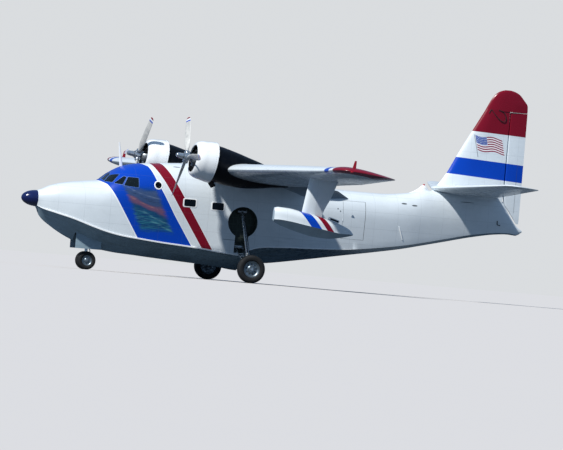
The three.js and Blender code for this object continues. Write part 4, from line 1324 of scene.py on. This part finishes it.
def fairing_shape():
    rings = []
    y, le_x, le_z, chord, _, incidence = lined(WING, 1450)
    for x in np.linspace(FAIRING_FRONT, FAIRING_REAR, 30):
        u = min((x - le_x) / chord, 1.0)
        under = le_z - (x - le_x) * tan(radians(incidence)) - chord * 0.05 * (1 - u)
        top = under + 25
        if x >= FAIRING_TOP_X:
            top = float(np.interp(x, [FAIRING_TOP_X, 10500, 11600, FAIRING_REAR],
                                  [under + 25, 3256, 3200, 2957]))
        low = float(np.interp(x, [FAIRING_FRONT, 9400, 10350, 11450, FAIRING_REAR],
                              [under - 10, 3150, 2830, 2855, 2938]))
        skin = skin_y(x, low)
        outer = min(FAIRING_BREADTH, skin + 6 + (top - low) / 1.8)
        arc = [(outer + (skin - 30 - outer) * sin(a), top + (low - top) * (1 - cos(a)))
               for a in np.arange(1, 9) / 8 * pi / 2]
        rings.append([(x, y, z) for y, z in [(skin_y(x, top) - 60, top), (outer, top + 3)] + arc])
    return solid(loft(rings))


# The fairing is painted grey as painted shade of its underside
fairing_shade_paint = white_paint("fairing_shade_grey_paint", 0x8c98a2, stain=0.3).done()
build_pair("root_fairing", fairing_shape(), [fairing_shade_paint])

# Floats and pylons
float_rings = [float_ring(row) for row in rows_of(FLOAT, 90)]
strips = [1] * 5 + [0] * (len(float_rings[0]) // 2 - 5)
float_paints = [float_skin(), float_bottom()]
float_shape = solid(loft(float_rings, paint=strips + strips[::-1]))
build_pair("float_skin", float_shape, float_paints, "float")

# Dark pads on white bases on the decks: half length, half height, half breadth and paint of the base and of
# the pad on it
deck_pad = Shape()
for long, high, thick, paint in ((185, 52, 70, 0), (150, 26, 76, 1)):
    corners = [(8515 + i * long + j * high * 0.28, 2058 - i * long * 0.28 + j * high)
               for i, j in ((-1, -1), (1, -1), (1, 1), (-1, 1))]
    deck_pad.add(*slab(rounded(corners, high * 0.7), PYLON_Y - thick, PYLON_Y + thick, paint=paint))
build_pair("float_deck_pad", deck_pad, [trim_paint, black_rubber])
pylon = solid(level_loft(PYLON, 150, PYLON_SECTION, 18, PYLON_Y))
build_pair("pylon_skin", pylon, [tail_paint], "float_pylon")

# Powerplants, shaped about the thrust line with X aft from the cylinders

def nacelle_shape():
    rings = []
    for i, (x, z, wide, high) in enumerate(rows_of(NACELLE, 140)):
        lean = tan(radians(TILT)) * max(0.0, 1 - i / 4)
        rings.append([(x + lean * high * sin(a), ENGINE[1] + wide * cos(a), z + high * sin(a))
                      for a in circle(48)])
    y = ENGINE[1] - 160
    stub = [(6080, y, 3330), (6135, y, 3200), (6210, y, 3060), (6290, y, 2950)]
    stub = tube(stub, [118, 114, 106, 96], 24, 1)
    return solid(loft(rings), stub, tube([(6288, y, 2954), (6296, y, 2940)], [85, 83], 24, 2))


COWL_OUTER = [(-410, 505), (-397, 556), (-359, 604), (-299, 645), (-220, 676), (-128, 696), (-30, 704),
              (150, 733), (327, 750)]
COWL_STATIONS = [-410, -409, -406, -402, -397, -387, -374, -359, -341, -320, -299, -262, -220, -175, -128,
                 -80, -30, 40, 110, 180, 250, 300, 327]
COWL_INNER = [(327, 738), (200, 700), (60, 664), (-160, 656), (-232, 632), (-300, 590), (-347, 540),
              (-385, 499), (-403, 496)]
COWL_SIDES = 96


def cowl_shape():
    """Gloss outside, dark inside, a rubber edge at the back and ten flap hinges round it."""
    knots = np.array(COWL_OUTER, float)
    outer = list(zip(COWL_STATIONS, pchip(knots[:, 0], knots[:, 1:], COWL_STATIONS)[:, 0]))
    marks = [0] * (len(outer) - 1) + [2] + [1] * (len(COWL_INNER) - 3) + [0, 0, 0]
    points, faces, _ = ring_profile([(float(x), float(r)) for x, r in outer + COWL_INNER], "X", COWL_SIDES)
    shape = Shape().add(points, faces, [mark for mark in marks for _ in range(COWL_SIDES)])
    for k in range(10):
        degrees = 20 + k * 14 + (k > 4) * 40
        shape.merge(solid(box(286, 340, -78, 78, 741, 753, 0, 3)).moved(turn("X", 90 - degrees)))
    return shape


CYLINDERS, FINS = 9, 13
CRANKCASE = [(-560, 2), (-556, 62), (-545, 70), (-495, 75), (-490, 128), (-470, 150), (-400, 190),
             (-340, 205), (-300, 215), (-240, 262), (-200, 290), (-60, 298), (160, 300)]


def cylinder_shape():
    """One cylinder, pointing up: finned barrel and head, rocker boxes, pushrods and plug leads."""
    barrel = [(262, 96), (300, 96)]
    for n in range(FINS):
        r = 304 + n * 18
        barrel += [(r, 96), (r, 121), (r + 7, 121), (r + 7, 96)]
    shape = solid(lathe(barrel + [(545, 90), (555, 84)], "Z", 20, paint=2),
                  box(-100, 86, -62, 62, 540, 606, 2, 14))
    for n in range(4):
        shape.add(*box(-112, 98, -74, 74, 546 + n * 15, 552 + n * 15, 2))
    for x0, x1 in ((-104, -40), (34, 92)):
        shape.add(*box(x0, x1, -52, 52, 600, 642, 1, 12))
    for y in (-34, 34):
        shape.add(*tube([(-170, y * 1.6, 262), (-128, y * 1.1, 450), (-96, y, 612)], 11, 10, 3))
        shape.add(*tube([(-330, y * 1.4, 305), (-250, y * 1.9, 410), (-110, y * 1.7, 560)], 6, 8, 1))
    return shape


def engine_shape():
    shape = solid(lathe(CRANKCASE),
                  lathe([(150, 300), (180, 440), (300, 440), (FIREWALL - 0.3, 300)], paint=2),
                  ring_profile([(-330 + 17 * cos(a), 300 + 17 * sin(a)) for a in circle(10)], paint=1))
    for k in range(CYLINDERS):
        shape.merge(cylinder_shape().moved(turn("X", k * 360 / CYLINDERS)))
    shape.add(*box(-420, -300, -60, 60, -290, -180, 0, 16))
    for y in (-150, 150):
        shape.add(*lathe([(-470, 4), (-462, 40), (-400, 44), (-330, 44)], "X", 20, (0, y, 150), 1))
    return shape


BLADE_STATIONS = [60, 110, 170, 230, 300, 380, 480, 600, 720, 840, 960, 1080, 1200, 1320, 1420, 1500, 1560,
                  1610, 1640, 1660, 1670, 1675]
BLADES = 3
SPINNER = [(-420, 2), (-419, 16), (-415, 34), (-404, 54), (-386, 72), (-360, 86), (-300, 92), (-200, 99),
           (-112, 103), (-106, 116), (-104, 140), (-96, 150), (66, 150), (70, 146), (79, 60)]


def blade_rings():
    """Round at the root, and flatter on its rear face from there to the tip."""
    rings = []
    for r, chord, thick, pitch in smooth_rows(BLADE, BLADE_STATIONS):
        turned = -radians(pitch)
        flat = float(np.interp(r, [200, 480], [0, 1]))
        ring = []
        for a in circle(24):
            along, across = chord / 2 * cos(a), thick / 2 * sin(a)
            across *= (1 - flat * 0.55 * (sin(a) > 0)) * (1 + 0.25 * flat * cos(a))
            ring.append((along * sin(turned) + across * cos(turned),
                         along * cos(turned) - across * sin(turned), r))
        rings.append(ring)
    return rings


def propeller_shape(phase):
    shape = solid(lathe(SPINNER, "X", 64, paint=1),
                  ring_profile([(-150, 102), (-150, 112), (-140, 112), (-140, 102)], paint=2))
    blade = solid(loft(blade_rings()),
                  lathe([(120, 92), (150, 96), (205, 96), (212, 84), (236, 78), (242, 62)], "Z", 40, paint=1))
    for degrees in (45, 135, 225, 315):
        a = radians(degrees)
        bolt_at = (100 * cos(a), 100 * sin(a), 0)
        blade.add(*lathe([(126, 2), (126, 11), (212, 11), (214, 2)], "Z", 6, bolt_at, 1))
    for k in range(BLADES):
        shape.merge(blade.moved(turn("X", phase + k * 360 / BLADES)))
    return shape


exhaust_paint = metal("exhaust_steel", 0x3a322c, 0.6, 0.5, 0.7)
nacelle_paints = [black_skin(), exhaust_paint, matte("soot_black", 0x050505)]
build_pair("nacelle_skin", nacelle_shape(), nacelle_paints, "nacelle")
cowl_paints = [cowl_skin(), dark_metal, black_rubber]
engine_paints = [grey_metal, dark_metal, metal("cylinder_fins", 0x4a4d50, 0.5, 0.4, 0.6), chrome]
prop_paints = [blade_paint(), chrome, dark_metal]
PROP_AHEAD = 640
for side, sign, _ in SIDES:
    mount = move(ENGINE[0], sign * ENGINE[1], ENGINE[2]) @ turn("Y", TILT)
    build(f"cowl_skin_{side}", cowl_shape().moved(mount), cowl_paints, f"cowl_{side}")
    build(f"radial_engine_{side}", engine_shape().moved(mount), engine_paints,
          f"engine_{side}")
    blades = propeller_shape(PHASE[side]).moved(mount @ move(-PROP_AHEAD))
    build(f"propeller_blades_{side}", blades, prop_paints, f"propeller_{side}",
          f"propeller_{side}")

# Landing gear, starboard side first

def collar(start, end, along, radius, sizes, sides=32):
    """Band round a tube: along is its place from start to end, sizes its half lengths and chamfer."""
    start, end = Vector(start), Vector(end)
    middle, way = start.lerp(end, along), (end - start).normalized()
    long, flat, chamfer = sizes
    path = [middle + way * d for d in (-long, -flat, flat, long)]
    return tube(path, [radius - chamfer, radius, radius, radius - chamfer], sides)


def leg_shape():
    x = MAIN_X
    top, knee, foot = (x, 1010, 2150), (x, 2160, 575), (x, 2430, 205)
    hose = [(x + 70, 1100, 2060), (x + 78, 1700, 1240), (x + 80, 2150, 620), (x + 60, 2300, 360),
            (x + 60, 2400, 200)]
    shape = solid(box(x - 130, x + 130, 800.3, 1010, 2080, 2220, 0, 14),
                  tube([(x - 170, 1010, 2150), (x + 170, 1010, 2150)], 70, 28),
                  tube([top, knee], 62, 32), tube([top, foot], 44, 32, 1))
    for along, radius in ((0.12, 72), (0.55, 70), (0.985, 76)):
        shape.add(*collar(top, knee, along, radius, (26, 20, 6)))
    shape.add(*box(x - 95, x + 95, 2380, 2490, 10, 230, 0, 18))
    shape.add(*tube([(x, 2480, AXLE_Z), (x, 2815, AXLE_Z)], 49.5, 32, 1))
    shape.add(*tube(hose, 9, 10, 2))
    for s in (-1, 1):
        link = [(x + s * 60, 2180, 500), (x + s * 92, 2330, 470), (x + s * 60, 2425, 215)]
        shape.add(*tube(link, [17, 15, 17], 12))
    return shape


def brace_shape():
    x = MAIN_X
    shape = solid(box(x - 215, x + 215, 850.3, 960, 800, 920, 0, 14))
    for s in (-1, 1):
        start, end = (x + s * 170, 930, 860), (x, 2372, 80)
        shape.add(*tube([start, end], 36, 24))
        for along in (0.06, 0.94):
            shape.add(*collar(start, end, along, 45, (34, 28, 8), sides=24))
    return shape.add(*tube([(x - 120, 1435, 585), (x + 120, 1435, 585)], 26, 20))


# Tyre's side from bead to tread, as shares of its half width and of its height over the rim
TYRE_SIDE = [(-0.66, 0), (-0.9, 0.16), (-1, 0.42), (-0.985, 0.62), (-0.9, 0.8), (-0.78, 0.92), (-0.6, 0.985)]
# Wheel's web from bore to rim, as shares of its half width and of the rim's radius
WHEEL_SIDE = [(-0.62, 0.36), (-0.4, 0.44), (-0.32, 0.5), (-0.3, 0.74), (-0.42, 0.86), (-0.6, 0.92),
              (-0.72, 0.95), (-0.74, 0.99), (-0.66, 1)]
WHEEL_BOLTS = 8


def tyre_shape(width, radius, rim, grooves, sides):
    half, rise = width / 2, radius - rim
    left = [(half * a, rim + rise * b) for a, b in TYRE_SIDE]
    right = [(-y, r) for y, r in left[::-1]]
    left[0], right[-1] = (-half * 0.66, rim + 0.4), (half * 0.66, rim + 0.4)
    wide, deep = half * 0.035, rise * 0.06
    tread = [(half * g + wide * a, radius - deep * b)
             for g in grooves for a, b in ((-1, 0), (-0.6, 1), (0.6, 1), (1, 0))]
    return solid(ring_profile(left + tread + right, "Y", sides))


def around(radius, count, start=0.0):
    """Points set evenly round an axle."""
    turns = [2 * pi * (k + start) / count for k in range(count)]
    return [(radius * sin(a), 0, radius * cos(a)) for a in turns]


def wheel_shape(width, rim, bore, holes):
    """Dished wheel with holes through its web, drawn as dark discs of painted shade, and a circle of bolts.
    """
    half = width / 2
    web = [(half * a, rim * b) for a, b in WHEEL_SIDE]
    other = [(-y, r) for y, r in web[::-1]]
    shape = solid(ring_profile(web + other + [(half * 0.62, bore), (-half * 0.62, bore)], "Y", 72))
    # Each hole is a dark disc on the web: painted shade in place of an opening
    hole = [(0.24 * half, rim * 0.1), (0.325 * half, rim * 0.1), (0.325 * half, rim * 0.07), (0.29 * half, 1)]
    bolt = [(0.36 * half, 11), (0.52 * half, 11), (0.54 * half, 2)]
    for places, profile, sides, paint in ((around(rim * 0.62, holes), hole, 20, 1),
                                          (around(rim * 0.42, WHEEL_BOLTS, 0.5), bolt, 6, 2)):
        for at in places:
            for s in (-1, 1):
                shape.add(*lathe([(s * along, r) for along, r in profile], "Y", sides, at, paint))
    return shape


main_tyre = tyre_shape(300, 508, 300, (-0.36, -0.12, 0.12, 0.36), 96)
main_wheel = wheel_shape(300, 300, 50.7, 9)
nose_tyre = tyre_shape(170, 330, 190, (-0.3, 0, 0.3), 80)
nose_wheel = wheel_shape(170, 190, 29.5, 6)
wheel_paints = [alloy, dark_metal, steel]
build_pair("leg", leg_shape(), [steel, chrome, black_rubber], "main_leg")
build_pair("brace", brace_shape(), [steel], "main_brace")
for side, sign, _ in SIDES:
    hub, body = move(MAIN_X, sign * MAIN_Y, AXLE_Z), f"main_wheel_{side}"
    build(f"wheel_{side}", main_wheel.moved(hub), wheel_paints, body, body)
    build(f"tyre_{side}", main_tyre.moved(hub), [tyre_paint], f"main_tyre_{side}", body)
    hub = move(NOSE_LEG_X, sign * NOSE_WHEEL_Y, NOSE_AXLE_Z)
    build(f"nose_tyre_skin_{side}", nose_tyre.moved(hub), [tyre_paint], f"nose_tyre_{side}",
          "nose_wheels")

x = NOSE_LEG_X
strut = solid(box(x - 170, x + 150, -120, 120, 1060, 1149.7, 0, 12),
              tube([(x, 0, 1100), (x, 0, 500.3)], 80, 36),
              tube([(x, 0, 700), (x, 0, 690), (x, 0, 640), (x, 0, 630)], [82, 92, 92, 82], 36),
              tube([(x + 20, 0, 620), (x + 330, 0, 1105)], 38, 20),
              box(x + 250, x + 390, -70, 70, 1060, 1149.7, 0, 10))
build("nose_strut", strut, [steel], "nose_leg")
fork = solid(tube([(x, 0, 500), (x, 0, NOSE_AXLE_Z + 30)], 56, 36, 1),
             tube([(x, 0, 500), (x, 0, 494), (x, 0, 436), (x, 0, 430)], [88, 92, 92, 88], 36),
             tube([(x + 60, 0, 440), (x + 150, 0, 260), (x + 62, 0, 20)], [20, 18, 20], 14))
build("nose_fork_skin", fork, [steel, chrome], "nose_fork", "nose_steering")
block = solid(box(x - 130, x + 62, -48, 48, NOSE_AXLE_Z - 58, NOSE_AXLE_Z + 66, 0, 12))
axle_hole = solid(tube([(x, -100, NOSE_AXLE_Z), (x, 100, NOSE_AXLE_Z)], 30.9, 32))
block = carve(mesh_object("block", block, [steel, chrome]), [axle_hole])
piece("nose_axle_block", block, body="nose_steering")
twin = solid(tube([(0, -214, 0), (0, 214, 0)], 29.4, 28))
for s in (-1, 1):
    twin.merge(nose_wheel.moved(move(0, s * NOSE_WHEEL_Y)))
    twin.add(*lathe([(s * 200, 60), (s * 214, 58), (s * 222, 40), (s * 226, 4)], "Y", 32, paint=2))
build("nose_wheel_pair", twin.moved(move(x, 0, NOSE_AXLE_Z)), wheel_paints, "nose_wheels",
      "nose_wheels")

# Nose gear doors hang from the bay's edges, so they keep the CAD's shape and take the bottom's paint with its
# painted shade
for side, _, _ in SIDES:
    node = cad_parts[f"nose_gear_door_{side}"]
    node.data.materials.clear()
    node.data.materials.append(bottom_shade_paint)

# Cockpit fittings


def power_of(value, power):
    """The value's power, with its sign kept."""
    return copysign(abs(value) ** power, value)


def pillow(x0, x1, y0, y1, z0, z1):
    """Crowned cushion whose sides pull in between its corners."""
    rings = []
    for b in np.linspace(-pi / 2, pi / 2, 19):
        ring = []
        for a in circle(36):
            px, py = (power_of(cos(b), 0.42) * power_of(v, 0.42) for v in (cos(a), sin(a)))
            pinch = 1 - 0.04 * abs(sin(2 * a))
            crown = 0.12 * (1 - px * px) * (1 - py * py)
            rise = min(1, power_of(sin(b), 0.6) * (0.88 + crown))
            ring.append([(low + high) / 2 + (high - low) / 2 * v for low, high, v in
                         ((x0, x1, px * pinch), (y0, y1, py * pinch), (z0, z1, rise))])
        rings.append(ring)
    return solid(loft(rings, caps=False))


floor = COCKPIT["floor"]
RECLINE = 10
for side, sign, _ in SIDES:
    y0, y1 = sorted((sign * 260, sign * 760))
    shell = solid(box(4130, 4410, y0 + 60, y1 - 60, floor + 0.3, floor + 330, 0, 12),
                  box(3970, 4420, y0 + 6, y1 - 6, floor + 330, floor + 372, 0, 14))
    back = solid(box(4330, 4372, y0 + 6, y1 - 6, floor + 400, floor + 1040, 0, 16))
    shell.merge(back.moved(turn("Y", RECLINE, (4350, 0, floor + 400))))
    build(f"seat_frame_{side}", shell, [trim_matte], f"seat_{side}")
    squab = pillow(3965, 4350, y0 + 14, y1 - 14, floor + 372, floor + 468)
    rest = pillow(4255, 4335, y0 + 20, y1 - 20, floor + 460, floor + 1010)
    squab.merge(rest.moved(turn("Y", RECLINE, (4300, 0, floor + 460))))
    build(f"seat_cushion_{side}", squab, [seat_paint])

dash = solid(box(3240, 3330, -860, 860, 2330, 2690, 0, 20), box(3200, 3400, -880, 880, 2680, 2705, 1, 10),
             box(3240, 3460, -150, 150, floor + 0.3, 2400, 0, 16))
for s in (-1, 1):
    for z in (2440, 2580):
        for y in (270, 410, 550, 690):
            y *= s
            dash.add(*lathe([(3328, 58), (3338, 58), (3338, 50), (3334, 2)], "X", 24, (0, y, z), 1))
            dash.add(*lathe([(3334, 46), (3336, 44), (3337, 2)], "X", 24, (0, y, z), 2))
            dash.add(*box(3336, 3340, y - 3, y + 3, z - 6, z + 38, 3))
for k in range(6):
    x, y = 3290 + 24 * k, -75 + 30 * k
    dash.add(*tube([(x + 10, y, 2395), (x, y, 2500)], 7, 8, 3))
    dash.add(*lathe([(2496, 4), (2500, 16), (2520, 16), (2524, 4)], "Z", 14, (x, y, 0), 1))
dash_paints = [trim_matte, black_rubber, window_paint, frame_paint]
build("instrument_board", dash, dash_paints, "instrument_panel")

# Control yokes: across and up from the column's head, and the rim's thickness there
YOKE_RIM = [(-120, 2480, 14), (-135, 2400, 15), (-90, 2362, 15), (0, 2372, 22), (90, 2362, 15),
            (135, 2400, 15), (120, 2480, 14)]
yokes = solid(box(3570, 3650, -560, 560, floor + 0.3, floor + 70, 0, 14))
for y in (-510, 510):
    yokes.add(*tube([(3610, y, floor + 30), (3650, y, 2110), (3690, y, 2390)], [30, 26, 24], 16))
    rim = [(3690, y + across, z) for across, z, _ in YOKE_RIM]
    yokes.add(*tube(rim, [thick for _, _, thick in YOKE_RIM], 14, 1))
build("control_yokes", yokes, [dark_metal, black_rubber], "control_columns")

# Small fittings
rings = []
for z in np.linspace(3420, 4290, 16):
    r = float(np.interp(z, [3480, 3700, 4290], [46, 40, 18]))
    rings.append([(3642 - (z - 3480) * 0.16 + 1.3 * r * cos(a), 0.5 * r * sin(a), z)
                  for a in circle(20)])
build("mast_skin", solid(loft(rings)), [trim_paint], "mast_antenna")

# Fairing under the beacon: x, half breadth and rise over the hull's back, in which it is sunk a little
BEACON_FAIRING = [(14720, 12, 0), (14880, 62, 22), (15040, 92, 88), (15170, 96, 170), (15250, 88, 214),
                  (15310, 76, 205), (15370, 56, 130), (15440, 10, 60)]
SUNK = 30
rings = []
for x, wide, rise in BEACON_FAIRING:
    base = float(np.interp(x, [14640, 15300, 16200], [3360, 3520, 3500])) - SUNK
    rings.append([(x, wide * cos(a), base + (SUNK + rise) * max(0, sin(a)) - 5 * (sin(a) < 0))
                  for a in circle(24)])
build("beacon_fairing", solid(loft(rings)), [trim_paint])
beacon = lathe([(3660, 46), (3695, 46), (3722, 38), (3740, 22), (3746, 3)], "Z", 28, (15270, 0, 0))
build("beacon_lamp", solid(beacon), [red_lamp])

# Loop aerials on both sides of the fin, each held by three stand-offs
LOOP = [(17525, 6554), (17600, 6690), (17640, 6660), (17740, 6540), (17880, 6390), (18020, 6290),
        (18120, 6270), (18190, 6330), (18195, 6430), (18150, 6560), (18060, 6650), (17900, 6690)]
loops = Shape()
for s in (-1, 1):
    path = np.array([(x, s * (np.interp(z, [4850, 6700], [145, 100]) * 0.9 + 12), z) for x, z in LOOP])
    between = [point for a, b in zip(path, path[1:]) for point in (a, a + (b - a) * 0.5)]
    loops.add(*tube([*between, path[-1]], 13, 10))
    for x, y, z in path[[1, 6, -1]]:
        loops.add(*tube([(x, y, z), (x, s * 60, z)], 10, 8))
build("fin_loop_aerial", loops, [black_rubber])


def blade_aerial(x, y, z, long, high):
    """Upright blade that narrows and leans back towards its top."""
    rings = []
    for t in np.linspace(0, 1, 8):
        chord, thick = long * (1 - 0.45 * t), 14 * (1 - 0.4 * t)
        rings.append([(x + long * 0.3 * t + chord / 2 * cos(a), y + thick / 2 * sin(a), z + high * t)
                      for a in circle(16)])
    return solid(loft(rings))


red_plain = matte("red_gloss_paint", 0x9c1428, 0.3, 0x70101c)
build_pair("tip_aerial", blade_aerial(7915, 14300, 3900, 135, 263), [red_plain])
for side, sign, _ in SIDES:
    lens = lathe([(-40, 3), (-30, 20), (0, 30), (60, 24), (90, 4)], "X", 20, (7700, sign * 14700, 3760))
    build(f"tip_lamp_{side}", solid(lens), [red_lamp if side == "port" else green_lamp])
rail = on_side([(14170, 2090), (14230, 1950), (14300, 1785), (14370, 1620)], -14)
build("side_rail", solid(tube(rail, [12, 22, 22, 14])), [trim_paint])
hook = on_side([(18155, 2620), (18165, 2480), (18280, 2455)], -12)
build("tail_hook", solid(tube(hook, 17, 10)), [black_rubber])


# Camera, lights and floor

# Solved by least squares from points of the photograph, in degrees, metres and pixels
YAW, ELEVATION, ROLL = 17.11362500503984, -0.42156981369825414, 4.806021755069156
DISTANCE, FOCAL, AIM = 312.6219746148882, 8564.873302727448, (8.0, 0, 2.5)
OFF_X, OFF_Y = -48.67550397, -23.6019619
PHOTO_WIDE, SENSOR = 563, 36.0


def photo_camera():
    yaw, up_angle, roll = (radians(v) for v in (YAW, ELEVATION, ROLL))
    away = Vector((-sin(yaw) * cos(up_angle), -cos(yaw) * cos(up_angle), sin(up_angle)))
    aim = Vector(AIM) + Vector((NOSE_X, 0, KEEL_Z))
    forward = -away
    right = forward.cross(Vector((0, 0, 1))).normalized()
    up = right.cross(forward)
    right, up = cos(roll) * right + sin(roll) * up, -sin(roll) * right + cos(roll) * up
    look = (forward * FOCAL - right * OFF_X + up * OFF_Y).normalized()
    right = (right - look * right.dot(look)).normalized()
    up = right.cross(look)
    data = bpy.data.cameras.new("photo_camera")
    data.sensor_width = SENSOR
    data.lens = FOCAL / PHOTO_WIDE * SENSOR
    data.clip_end = 4000
    camera = linked("photo_camera", data)
    camera.matrix_world = Matrix((
        (right.x, up.x, -look.x, 0), (right.y, up.y, -look.y, 0), (right.z, up.z, -look.z, 0), (0, 0, 0, 1)))
    camera.location = aim + away * DISTANCE
    bpy.context.scene.camera = camera


photo_camera()

FLOOR_RADIUS, FLOOR_Z = 900, -0.002
floor_mesh = bpy.data.meshes.new("studio_floor")
ring = [(FLOOR_RADIUS * cos(a), FLOOR_RADIUS * sin(a), FLOOR_Z) for a in circle(64)]
floor_mesh.from_pydata(ring, [], [list(range(len(ring)))])
floor_mesh.materials.append(floor_paint())
floor_obj = linked("studio_floor", floor_mesh)

# The camera sees a pale studio, while the shadows are filled with the blue of a sky
FILL, BACKDROP = (0.15, 0.24, 0.385, 1), (0.7, 0.72, 0.74, 1)
world = bpy.data.worlds.new("studio")
bpy.context.scene.world = world
world.use_nodes = True
links, nodes = world.node_tree.links, world.node_tree.nodes
fill, seen = nodes["Background"], nodes.new("ShaderNodeBackground")
fill.inputs["Color"].default_value = FILL
seen.inputs["Color"].default_value = BACKDROP
choice, path = nodes.new("ShaderNodeMixShader"), nodes.new("ShaderNodeLightPath")
links.new(path.outputs["Is Camera Ray"], choice.inputs[0])
links.new(fill.outputs[0], choice.inputs[1])
links.new(seen.outputs[0], choice.inputs[2])
links.new(choice.outputs[0], nodes["World Output"].inputs["Surface"])

sun = bpy.data.lights.new("key", "SUN")
sun.energy, sun.angle, sun.color = 4.35, radians(2.5), (0.985, 0.98, 0.955)
SUN_FROM = (-0.545, -0.41, 0.731)
linked("key", sun).rotation_euler = Vector(SUN_FROM).to_track_quat("Z", "Y").to_euler()

bpy.context.scene.view_settings.view_transform = "Standard"
